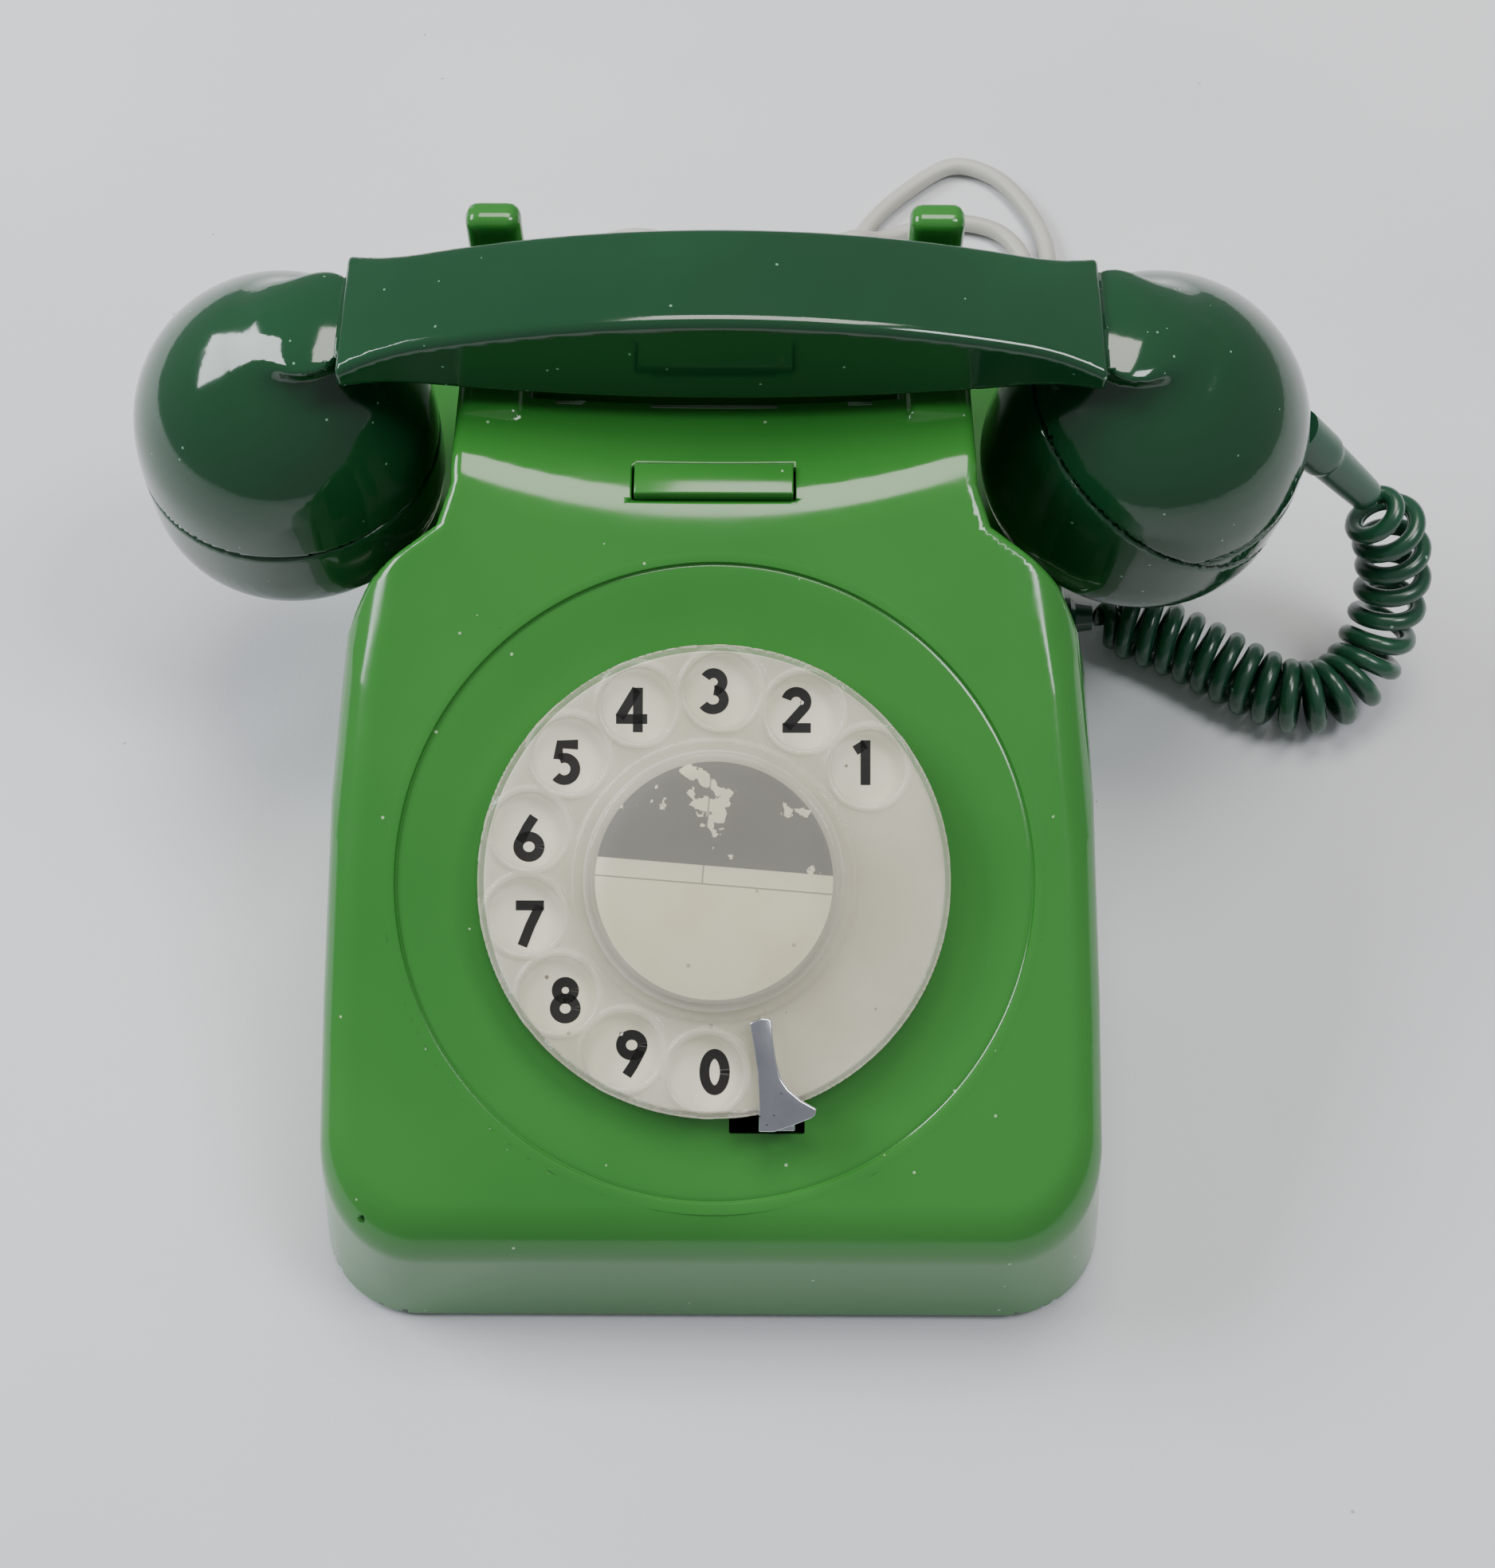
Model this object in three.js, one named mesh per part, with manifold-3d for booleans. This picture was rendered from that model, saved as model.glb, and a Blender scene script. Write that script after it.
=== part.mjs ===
// Desk telephone with a rotary dial: sloping moulded case, handset on a cradle, coiled handset cord
// and line cord. Millimetres, +Z up, front of the telephone towards -Y.
// The origin is on the surface it stands on, under the middle of the telephone.
import * as THREE from 'three';
import { mergeVertices } from 'three/addons/utils/BufferGeometryUtils.js';
import Module from 'manifold-3d';

const wasm = await Module();
wasm.setup();

// ---- driving dimensions ----
const GAP = 0.3; // clearance between pieces that touch
const WALL = 2.5; // moulded case wall
const CASE_HALF_DEPTH = 105.6;
const CASE_HALF_WIDTH = 79;
const CASE_BOTTOM = 1.5;
const FACE_SLOPE = THREE.MathUtils.degToRad(25);
const FACE_FOOT = { y: -102, z: 35.4 }; // where the sloping face meets the front wall
const NECK_TOP = 100;
const DECK_HEIGHT = 40; // ledge under each handset cup
const DIAL_CENTRE = { x: 0.5, y: -38.7, z: 64.9 };
const DISH_RADIUS = 61.5;
const APERTURE_RADIUS = 42.5;
const FINGER_PLATE_RADIUS = 45;
const FINGER_PITCH_RADIUS = 36.4;
const FINGER_HOLE_RADIUS = 7.05;
const FINGER_HOLE_STEP = 25.74; // degrees between neighbouring holes
const FIRST_HOLE_ANGLE = 36.3; // digit 1, counter-clockwise from the right
const HOLES = 10;
const SCOOP_RADIUS = 330; // shallow hollow across the top of the neck
const SCOOP_FLOOR = 95;
const FINGER_SPACE = { half: 37, front: 51.8, floor: 92.2 }; // under the handle, open to the rear
const SEAT_X = 44; // seats, plungers and horns stand at this distance from the middle
const SEAT_TOP = 98.7;
const HANDLE_Y = 61.5;
const HANDLE_WIDTH = 27;
const HANDLE_TOP = 124.5;
const HANDLE_UNDERSIDE = 100.3;
const HANDSET_X = 1.5; // the handset lies slightly to the right on its cradle
const HANDSET_HALF_LENGTH = 121.65;
const EAR_RADIUS = 31;
const MOUTH_RADIUS = 32.5;
const CURL_RADIUS = 8.5; // outside of the coiled handset cord
const LINE_CORD_RADIUS = 2.15;
const COIL_RADIUS = 22.5; // stored line cord, middle of its turns
const COIL_CENTRE = { x: -22, y: 136 };

// ---- finishes ----
const finish = (color, roughness, metalness = 0) =>
  new THREE.MeshStandardMaterial({ color, roughness, metalness });
const CASE_GREEN = finish(0x4a8741, 0.22);
const HANDSET_GREEN = finish(0x12402a, 0.15);
const CORD_GREEN = finish(0x174a38, 0.4);
const CREAM = finish(0xd6cfbb, 0.4);
const CLEAR = finish(0xe4ded0, 0.08);
const LABEL = finish(0xe8e4cf, 0.6);
const CHROME = finish(0xb9bcc2, 0.15, 1);
const STEEL = finish(0x9a9ca0, 0.4, 1);
const BRASS = finish(0xc0a055, 0.3, 1);
const BLACK = finish(0x1c1c1e, 0.6);
const COPPER = finish(0x8f4a2a, 0.4, 1);
const BOARD = finish(0x9a7a3c, 0.6);
const WHITE_CORD = finish(0xc9c8bf, 0.5);

// ---- shape helpers ----
const vec2 = (x, y) => new THREE.Vector2(x, y);
const vec3 = (x, y, z) => new THREE.Vector3(x, y, z);

// Corners are [x, y, radius]; a corner with a radius becomes a smooth arc of a few steps.
function outline(corners, steps = 4) {
  return corners.flatMap(([x, y, radius = 0], i) => {
    const corner = vec2(x, y);
    if (radius === 0) return [corner];
    const [beforeX, beforeY] = corners.at(i - 1);
    const [afterX, afterY] = corners[(i + 1) % corners.length];
    const back = vec2(beforeX, beforeY).sub(corner).normalize();
    const ahead = vec2(afterX, afterY).sub(corner).normalize();
    const reach = radius / Math.tan(back.angleTo(ahead) / 2);
    const start = corner.clone().addScaledVector(back, reach);
    const end = corner.clone().addScaledVector(ahead, reach);
    return new THREE.QuadraticBezierCurve(start, corner, end).getPoints(steps);
  });
}

// Moves every edge of a counter-clockwise outline inwards by t.
function inset(points, t) {
  return points.map((point, i) => {
    const edgeIn = point.clone().sub(points.at(i - 1)).normalize();
    const edgeOut = points[(i + 1) % points.length].clone().sub(point).normalize();
    const normalIn = vec2(-edgeIn.y, edgeIn.x);
    const normalOut = vec2(-edgeOut.y, edgeOut.x);
    const share = t / (1 + normalIn.dot(normalOut));
    return point.clone().addScaledVector(normalIn.add(normalOut), share);
  });
}

function circle(radius, count, x = 0, y = 0) {
  return Array.from({ length: count }, (_, i) => {
    const angle = (2 * Math.PI * i) / count;
    return vec2(x + radius * Math.cos(angle), y + radius * Math.sin(angle));
  });
}

// A flat plate from z = 0 up to its thickness, with holes.
function plate(points, thickness, holes = []) {
  const shape = new THREE.Shape(points);
  shape.holes = holes.map((hole) => new THREE.Path(hole));
  return new THREE.ExtrudeGeometry(shape, { depth: thickness, bevelEnabled: false });
}

// A [y, z] outline extruded along X, and an [x, z] outline extruded along Y, about the middle.
function alongX(points, width, middle = 0) {
  const turn = new THREE.Matrix4().makeBasis(vec3(0, 1, 0), vec3(0, 0, 1), vec3(1, 0, 0));
  return plate(points, width).applyMatrix4(turn).translate(middle - width / 2, 0, 0);
}
function alongY(points, depth, middle = 0) {
  return plate(points, depth).rotateX(Math.PI / 2).translate(0, middle + depth / 2, 0);
}

// A [radius, z] profile turned about Z; it closes on itself, or starts and ends on the axis.
function turned(profile, count = 32) {
  const points = profile.map(([radius, z]) => vec2(radius, z));
  if (THREE.ShapeUtils.area(points) < 0) points.reverse();
  if (points[0].x > 0) points.push(points[0].clone());
  return new THREE.LatheGeometry(points, count).rotateX(Math.PI / 2);
}

function disc(radius, low, high, count = 24, hole = 0) {
  const ring = [[hole, low], [radius, low], [radius, high], [hole, high]];
  return turned(ring, count);
}

// A box from its lowest to its highest corner.
function block(low, high) {
  const size = high.map((value, i) => value - low[i]);
  const middle = high.map((value, i) => (value + low[i]) / 2);
  return new THREE.BoxGeometry(...size).translate(...middle);
}

// A round bar or cone between two points.
function bar(from, to, radius, endRadius = radius, count = 12) {
  const span = to.clone().sub(from);
  const turn = new THREE.Quaternion().setFromUnitVectors(vec3(0, 1, 0), span.clone().normalize());
  const middle = from.clone().addScaledVector(span, 0.5);
  return new THREE.CylinderGeometry(endRadius, radius, span.length(), count)
    .applyQuaternion(turn)
    .translate(middle.x, middle.y, middle.z);
}

// A tube along a smooth route through hand-picked points.
function tube(route, radius, sides, steps) {
  const curve = new THREE.CatmullRomCurve3(route, false, 'centripetal');
  const section = new THREE.Shape(circle(radius, sides));
  return new THREE.ExtrudeGeometry(section, { steps, extrudePath: curve, bevelEnabled: false });
}

// ---- joins and cuts ----
function solid(geometry) {
  const bare = geometry.index ? geometry.toNonIndexed() : geometry.clone();
  bare.deleteAttribute('normal');
  bare.deleteAttribute('uv');
  const merged = mergeVertices(bare, 1e-3);
  return new wasm.Manifold(
    new wasm.Mesh({
      numProp: 3,
      vertProperties: merged.attributes.position.array,
      triVerts: new Uint32Array(merged.index.array),
    }),
  );
}
function geometryOf(body) {
  const { vertProperties, triVerts } = body.getMesh();
  const geometry = new THREE.BufferGeometry();
  geometry.setAttribute('position', new THREE.BufferAttribute(vertProperties, 3));
  geometry.setIndex(new THREE.BufferAttribute(triVerts, 1));
  geometry.computeVertexNormals();
  return geometry;
}
const fold = (verb) => (first, ...others) =>
  geometryOf(others.reduce((body, other) => body[verb](solid(other)), solid(first)));
const join = fold('add');
const cut = fold('subtract');
const overlap = fold('intersect');

// ---- the scene graph ----
const telephone = new THREE.Group();
const dial = new THREE.Group(); // local +Z is the outward normal of the sloping face
dial.position.set(DIAL_CENTRE.x, DIAL_CENTRE.y, DIAL_CENTRE.z);
dial.rotation.x = FACE_SLOPE;
dial.updateMatrix();
const handset = new THREE.Group();
handset.position.set(HANDSET_X, HANDLE_Y, 0);
handset.updateMatrix();
telephone.add(dial, handset);

function piece(name, geometry, material, parent = telephone) {
  const mesh = new THREE.Mesh(geometry, material);
  mesh.name = name;
  parent.add(mesh);
}
const onFace = (geometry) => geometry.applyMatrix4(dial.matrix);
const mirrorX = [['left', -1], ['right', 1]];

// ---- case ----
const faceHeight = (y) => FACE_FOOT.z + (y - FACE_FOOT.y) * Math.tan(FACE_SLOPE);
const crestY = FACE_FOOT.y + (NECK_TOP - FACE_FOOT.z) / Math.tan(FACE_SLOPE);

function hollowUnderHandle(t) {
  const half = 62;
  const floor = Array.from({ length: 17 }, (_, i) => {
    const x = half * (i / 8 - 1);
    return vec2(x, SCOOP_FLOOR + SCOOP_RADIUS - Math.sqrt(SCOOP_RADIUS ** 2 - x ** 2) - t);
  });
  const front = 14;
  const back = 76 + t;
  const scoop = alongY([...floor, vec2(half, 150), vec2(-half, 150)], back - front, (back + front) / 2);
  const { half: side, front: start, floor: base } = FINGER_SPACE;
  const fingerSpace = block([-side - t, start - t, base - t], [side + t, 130, 150]);
  return join(scoop, fingerSpace);
}

// The outer form of the case at t = 0, and the space inside its wall at t = WALL.
function caseForm(t) {
  const bottom = t > 0 ? -10 : CASE_BOTTOM;
  const side = outline([
    [-CASE_HALF_DEPTH, CASE_BOTTOM],
    [CASE_HALF_DEPTH, CASE_BOTTOM],
    [CASE_HALF_DEPTH - 1.3, 82, 8],
    [86, NECK_TOP, 3],
    [crestY, NECK_TOP],
    [FACE_FOOT.y, faceHeight(FACE_FOOT.y), 9],
  ]);
  const frontHalf = [
    [CASE_HALF_WIDTH, CASE_BOTTOM],
    [75.6, 36],
    [75, 66],
    [70, 84.5],
    [67, 91],
    [64.5, 110],
  ];
  const front = [
    ...frontHalf.map(([x, z]) => vec2(x, z)),
    ...frontHalf.map(([x, z]) => vec2(-x, z)).reverse(),
  ];
  const plan = outline([
    [-CASE_HALF_WIDTH, -CASE_HALF_DEPTH, 20],
    [CASE_HALF_WIDTH, -CASE_HALF_DEPTH, 20],
    [CASE_HALF_WIDTH, CASE_HALF_DEPTH, 12],
    [-CASE_HALF_WIDTH, CASE_HALF_DEPTH, 12],
  ], 6);
  const extend = (points) =>
    points.map((point) => (point.y < CASE_BOTTOM + t + 0.1 ? vec2(point.x, bottom) : point));
  const body = overlap(
    alongX(extend(inset(side, t)), 200),
    alongY(extend(inset(front, t)), 240),
    plate(inset(plan, t), 130).translate(0, 0, bottom),
  );
  const cupSpace = [
    [100, 10],
    [100, 130],
    [50.5, 130],
    [50.5, 60],
    [51.3, 32],
    [54, 24.5, 2],
    [67.5, 15.5],
    [72, 10],
  ];
  const spaces = mirrorX.map(([, sign]) => {
    const points = inset(outline(cupSpace), -t).map((p) => vec2(sign * p.x, p.y));
    return plate(points, 100).translate(0, 0, DECK_HEIGHT - t);
  });
  const carryRecess = block([-36 - t, 88 - t, 50 - t], [36 + t, 130, 76 + t]);
  return cut(body, ...spaces, hollowUnderHandle(t), carryRecess);
}

const PLUNGER = { x: 2.2, y: 6 }; // half sizes
const bossAt = (sign) => ({ x: sign * 64, y: 70 });
const BLANK = { x: 15.6, front: 29.2, back: 36.4, top: 96.6 };
const STOP_SLOT = block([3, -48.4, -12], [17.5, -43.6, 6]);

function caseShell() {
  const dish = turned([
    [0, 12], [DISH_RADIUS, 12], [DISH_RADIUS, -0.4], [59.5, -1], [48, -2.2], [0, -2.2],
  ], 48);
  const dishBacking = disc(DISH_RADIUS + 2, -4.9, -0.5, 36);
  const aperture = disc(APERTURE_RADIUS, -30, 5, 36);
  const raised = mirrorX.flatMap(([, sign]) => {
    const horn = alongX(
      outline([[80, 94], [86.6, 94], [86.6, 115.6, 2.5], [80.4, 115.6, 2.5]], 3), 11, sign * SEAT_X,
    );
    const seat = block([sign * SEAT_X - 5.5, 47, 88], [sign * SEAT_X + 5.5, 76, SEAT_TOP]);
    const { x, y } = bossAt(sign);
    return [horn, seat, disc(4.5, 6, DECK_HEIGHT - 1, 16).translate(x, y, 0)];
  });
  const openings = mirrorX.flatMap(([, sign]) => {
    const x = sign * SEAT_X;
    const slot = block(
      [x - PLUNGER.x - 0.4, HANDLE_Y - PLUNGER.y - 0.4, 60],
      [x + PLUNGER.x + 0.4, HANDLE_Y + PLUNGER.y + 0.4, 110],
    );
    const boss = bossAt(sign);
    return [slot, disc(1.9, 0, 20, 12).translate(boss.x, boss.y, 0)];
  });
  const cordHole = bar(vec3(70, 56, 9), vec3(90, 56, 9), 4.4, 4.4, 16);
  const lineHole = bar(vec3(60, 95, 9), vec3(60, 115, 9), 4.4, 4.4, 16);
  const blankHole = block(
    [-BLANK.x - GAP, BLANK.front - GAP, 80],
    [BLANK.x + GAP, BLANK.back + GAP, 120],
  );
  const shell = cut(caseForm(0), caseForm(WALL));
  return cut(
    join(shell, onFace(dishBacking), ...raised),
    onFace(dish),
    onFace(aperture),
    onFace(STOP_SLOT.clone()),
    ...openings,
    cordHole,
    lineHole,
    blankHole,
  );
}

function buildCase() {
  piece('case_shell', caseShell(), CASE_GREEN);
  const blank = block([-BLANK.x, BLANK.front, 89], [BLANK.x, BLANK.back, BLANK.top]);
  piece('button_blank', blank, CASE_GREEN);
  const corners = [[-1, -1], [1, -1], [1, 1], [-1, 1]];
  const basePlan = outline(corners.map(([x, y]) => [x * 74.5, y * 101.5, y < 0 ? 18 : 10]));
  const screwHoles = mirrorX.map(([, sign]) => circle(2.4, 12, bossAt(sign).x, bossAt(sign).y));
  const base = plate(basePlan, 2, screwHoles).translate(0, 0, 3.3);
  const posts = [[-40, -58], [40, -58], [40, 16], [-40, 16]].map(([x, y]) =>
    disc(2.2, 4, 7.7, 10).translate(x, y, 0));
  piece('base_plate', join(base, ...posts), STEEL);
  corners.forEach(([x, y], i) => {
    const foot = turned([[0, 0], [6.5, 0], [8, 1], [8, 3], [0, 3]], 20);
    piece(`foot_${i + 1}`, foot.translate(x * 58, y * 86, 0), BLACK);
  });
  for (const [side, sign] of mirrorX) {
    const screw = turned([[0, 1.6], [4, 1.6], [4, 3], [1.6, 3], [1.6, 18], [0, 18]], 12);
    piece(`case_screw_${side}`, screw.translate(bossAt(sign).x, bossAt(sign).y, 0), STEEL);
  }
}

// ---- dial: heights are along the outward normal of the face, from the face itself ----
const MAIN_TEETH = 50;
const PINION_TEETH = 10;
const GEAR_MODULE = 0.96;
const IMPULSE_ANGLE = THREE.MathUtils.degToRad(200);
const IMPULSE_DISTANCE = ((MAIN_TEETH + PINION_TEETH) * GEAR_MODULE) / 2 + 0.1;
const WORM_WHEEL_RADIUS = 9;
const BRIDGE_TOP = -24.3;

function gear(teeth, thickness, hole, turn) {
  const pitchRadius = (teeth * GEAR_MODULE) / 2;
  const root = pitchRadius - 0.95 * GEAR_MODULE;
  const tip = pitchRadius + 0.7 * GEAR_MODULE;
  const tooth = [[root, -0.24], [tip, -0.1], [tip, 0.1], [root, 0.24]];
  const points = Array.from({ length: teeth }, (_, i) => i).flatMap((i) =>
    tooth.map(([radius, share]) => {
      const angle = turn + ((i + share) * 2 * Math.PI) / teeth;
      return vec2(radius * Math.cos(angle), radius * Math.sin(angle));
    }));
  return plate(points, thickness, [circle(hole, 12)]);
}

function fingerPlate() {
  const holes = Array.from({ length: HOLES }, (_, i) => {
    const angle = THREE.MathUtils.degToRad(FIRST_HOLE_ANGLE + i * FINGER_HOLE_STEP);
    const x = FINGER_PITCH_RADIUS * Math.cos(angle);
    const y = FINGER_PITCH_RADIUS * Math.sin(angle);
    return circle(FINGER_HOLE_RADIUS, 12, x, y);
  });
  holes.push(circle(22.4, 24));
  return plate(circle(FINGER_PLATE_RADIUS, 40), 2.6, holes).translate(0, 0, 2.6);
}

// Chromed blade over the finger plate, with a leg through the case and an arm under the dial.
function fingerStop() {
  const blade = plate([
    vec2(6.8, -26.8), vec2(9, -25.8), vec2(11, -26), vec2(11.9, -34), vec2(14.2, -39.2),
    vec2(19.6, -42.8), vec2(18.6, -44.6), vec2(11.6, -47.2), vec2(8.6, -47.2), vec2(8.4, -36),
  ], 1.5).translate(0, 0, 6.3);
  const leg = block([8.6, -47.2, -7], [15.6, -45.8, 7]);
  const arm = block([8.6, -47.2, -7.2], [15.6, -36.4, -5.6]);
  const riser = block([8.6, -38.4, -6], [15.6, -36.4, -3.6]);
  return join(blade, leg, arm, riser);
}

function buildDial() {
  const add = (name, geometry, material) => piece(name, geometry, material, dial);
  const shaftHole = disc(3.3, -40, 10, 16);
  const pillars = [90, 160, 330].map((degrees) => {
    const angle = THREE.MathUtils.degToRad(degrees);
    return disc(2.5, BRIDGE_TOP + GAP, -3, 12)
      .translate(36 * Math.cos(angle), 36 * Math.sin(angle), 0);
  });
  add('dial_frame', cut(join(disc(41.9, -3.3, -0.3, 36), ...pillars), shaftHole), STEEL);
  add('dial_number_plate', disc(44.2, 0, 1.6, 40, 6), CREAM);
  add('finger_plate', fingerPlate(), CLEAR);
  const hub = [[0, -27], [3, -27], [3, 2], [22, 2], [22, 5], [0, 5]];
  add('dial_main_shaft', turned(hub, 24), STEEL);
  add('dial_label', disc(22.6, 5.4, 5.9, 24), LABEL);
  const cap = [[0, 7], [23.3, 7], [23.3, 5.5], [24.8, 5.5], [24.8, 7.4], [23.6, 8.4], [0, 8.6]];
  add('dial_centre_cap', turned(cap, 24), CLEAR);
  add('finger_stop', fingerStop(), CHROME);

  const wheel = gear(MAIN_TEETH, 2, 3.3, IMPULSE_ANGLE).translate(0, 0, -8.5);
  add('dial_main_wheel', wheel, BRASS);
  const spiral = [];
  const SPRING_STEPS = 30;
  for (let i = 0; i <= SPRING_STEPS; i++) {
    const angle = (i / SPRING_STEPS) * 2.5 * 2 * Math.PI;
    spiral.push([4.6 + angle * 0.42, angle]);
  }
  const along = ([radius, angle]) => vec2(radius * Math.cos(angle), radius * Math.sin(angle));
  const inner = spiral.map(along);
  const outer = spiral.map(([radius, angle]) => along([radius + 0.5, angle])).reverse();
  add('dial_return_spring', plate([...inner, ...outer], 4).translate(0, 0, -22.5), STEEL);

  // Governor shaft: along local Y of a frame turned with the impulse shaft, outside its wheel.
  const wormX = IMPULSE_DISTANCE + WORM_WHEEL_RADIUS + GAP + 1.6;
  const wormAxis = (geometry) => geometry.rotateX(-Math.PI / 2).translate(wormX, 0, -15);
  const bearings = [-11, 12.5].map((place) => {
    const post = block([wormX - 2.4, place - 1, BRIDGE_TOP - 0.5], [wormX + 2.4, place + 1, -12.4]);
    return cut(post, wormAxis(disc(1.2, -20, 30, 12)));
  });
  const bridge = cut(
    join(
      disc(41.9, BRIDGE_TOP - 1.7, BRIDGE_TOP, 36),
      ...bearings.map((bearing) => bearing.rotateZ(IMPULSE_ANGLE)),
    ),
    disc(3.3, -40, -20, 16),
    disc(1.5, -40, -20, 12).translate(
      IMPULSE_DISTANCE * Math.cos(IMPULSE_ANGLE), IMPULSE_DISTANCE * Math.sin(IMPULSE_ANGLE), 0),
  );
  add('dial_bridge', bridge, STEEL);

  // Impulse shaft, with local +X pointing away from the main shaft.
  const impulse = new THREE.Group();
  impulse.rotation.z = IMPULSE_ANGLE;
  dial.add(impulse);
  const out = IMPULSE_DISTANCE;
  const pinion = gear(PINION_TEETH, 3, 1.5, Math.PI + Math.PI / PINION_TEETH);
  piece('impulse_pinion', pinion.translate(out, 0, -9), BRASS, impulse);
  piece('impulse_shaft', disc(1.2, -25.6, -3.6, 12).translate(out, 0, 0), STEEL, impulse);
  const wormWheel = plate(
    Array.from({ length: 48 }, (_, i) => {
      const angle = (i * Math.PI) / 24;
      const radius = WORM_WHEEL_RADIUS - (i % 2) * 0.9;
      return vec2(radius * Math.cos(angle), radius * Math.sin(angle));
    }), 2, [circle(1.5, 12)]);
  piece('governor_drive_wheel', wormWheel.translate(out, 0, -16), BRASS, impulse);
  const lobes = circle(3, 24).map((p) => vec2(p.x * 1.45, p.y));
  piece('impulse_cam', plate(lobes, 1.6, [circle(1.5, 12)]).translate(out, 0, -12.4), BLACK, impulse);

  const worm = [
    [0, -14.5], [0.9, -14.5], [0.9, -5], [1.6, -5], [1.6, 5], [0.9, 5], [0.9, 22], [0, 22],
  ];
  piece('governor_shaft', wormAxis(turned(worm, 16)), STEEL, impulse);
  const weights = [-1, 1].map((sign) => block([sign * 2 - 0.9, -1.5, 17], [sign * 2 + 0.9, 1.5, 21]));
  const weightBar = block([-2.9, -2, 18], [2.9, 2, 19.5]);
  const rotor = cut(join(weightBar, ...weights), disc(1.2, 10, 30, 12));
  piece('governor_weights', wormAxis(rotor), BRASS, impulse);
  const cup = turned([[1.5, 23], [5.5, 23], [5.5, 16.5], [4.7, 16.5], [4.7, 22.2], [1.5, 22.2]], 20);
  piece('governor_cup', wormAxis(cup), STEEL, impulse);

  // Spring contacts opened by the impulse cam.
  const stack = block([-4, -4, -16], [4, 4, -3.6]);
  const leaves = [-1.2, 0, 1.2].map((y) => block([-26, y - 0.25, -13], [-3, y + 0.25, -10]));
  const contacts = join(stack, ...leaves).rotateZ(-0.733).translate(-4, -32, 0);
  piece('impulse_contacts', contacts, BRASS, dial);
}

function buildDialBracket() {
  const strap = onFace(block([-46.6, -8, -28.9], [46.6, 8, -27.4]));
  const legs = mirrorX.map(([, sign]) =>
    block([sign * 45.8 - 0.8, -36, 5.6], [sign * 45.8 + 0.8, -20, 42]));
  piece('dial_bracket', join(strap, ...legs), STEEL);
}

// ---- bell ----
const GONG = { x: 28.5, y: 76, radius: 24 };

function buildBell() {
  const framePlan = outline([[-50, 26, 4], [50, 26, 4], [50, 96, 4], [-50, 96, 4]], 2);
  piece('bell_frame', plate(framePlan, 2).translate(0, 0, 5.7), STEEL);
  for (const [side, sign] of mirrorX) {
    const { x, y, radius } = GONG;
    const gong = turned([
      [radius, 22], [radius, 30], [radius - 3, 34], [15, 36.3], [2.6, 36.3],
      [2.6, 34.7], [14.5, 34.7], [radius - 4, 32.8], [radius - 1.6, 29.5], [radius - 1.6, 22],
    ], 24);
    piece(`gong_${side}`, gong.translate(sign * x, y, 0), BRASS);
    const post = turned([
      [0, 8], [5, 8], [5, 34.3], [2.2, 34.3], [2.2, 36.7], [4.5, 36.7], [3.8, 38.6], [0, 38.6],
    ], 12);
    piece(`gong_post_${side}`, post.translate(sign * x, y, 0), STEEL);
    const coil = turned([
      [0, 8], [7.5, 8], [7.5, 10], [6.6, 10], [6.6, 29], [7.5, 29], [7.5, 31], [0, 31],
    ], 14);
    piece(`bell_coil_${side}`, coil.translate(sign * 10, 40, 0), COPPER);
  }
  const armature = block([-15, 36.5, 33], [15, 43.5, 35]);
  const rod = bar(vec3(0, 42, 34), vec3(0, 76, 29.5), 0.9, 0.9, 8);
  const ball = new THREE.SphereGeometry(2.2, 12, 8).translate(0, 76, 29);
  piece('bell_clapper', join(armature, rod, ball), STEEL);
}

// ---- cradle switch ----
const LEVER_PIVOT = { y: 38, z: 66 };

function buildCradleSwitch() {
  for (const [side, sign] of mirrorX) {
    const stem = block(
      [-PLUNGER.x, -PLUNGER.y, 68.8],
      [PLUNGER.x, PLUNGER.y, HANDLE_UNDERSIDE - 0.6],
    );
    piece(`cradle_plunger_${side}`, stem.translate(sign * SEAT_X, HANDLE_Y, 0), CREAM);
  }
  const { y, z } = LEVER_PIVOT;
  const crossBar = block([-47, 52, z], [47, 63.8, z + 2]);
  const arms = [-17, 17].map((x) => block([x - 2, y - 4, z - 3], [x + 2, 54, z + 2]));
  const pinHole = bar(vec3(-30, y, z), vec3(30, y, z), 1.8, 1.8, 16);
  piece('hook_switch_lever', cut(join(crossBar, ...arms), pinHole), STEEL);
  piece('hook_lever_pin', bar(vec3(-23.5, y, z), vec3(23.5, y, z), 1.5, 1.5, 16), STEEL);
  const cheeks = [-21.6, 21.6].map((x) => block([x - 0.8, 32, 8], [x + 0.8, 44, 70]));
  const shelf = block([-21.6, 32, 46], [21.6, 44, 47.6]);
  const clearance = bar(vec3(-30, y, z), vec3(30, y, z), 1.8, 1.8, 16);
  piece('switch_bracket', cut(join(...cheeks, shelf), clearance), STEEL);
  const leaves = [0, 1, 2].map((i) => block([-3, 34, 50 + i * 2.4], [3, 50, 50.5 + i * 2.4]));
  const pile = block([-4, 33, 48], [4, 39, 58]);
  piece('hook_switch_contacts', join(pile, ...leaves), BRASS);
}

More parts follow.
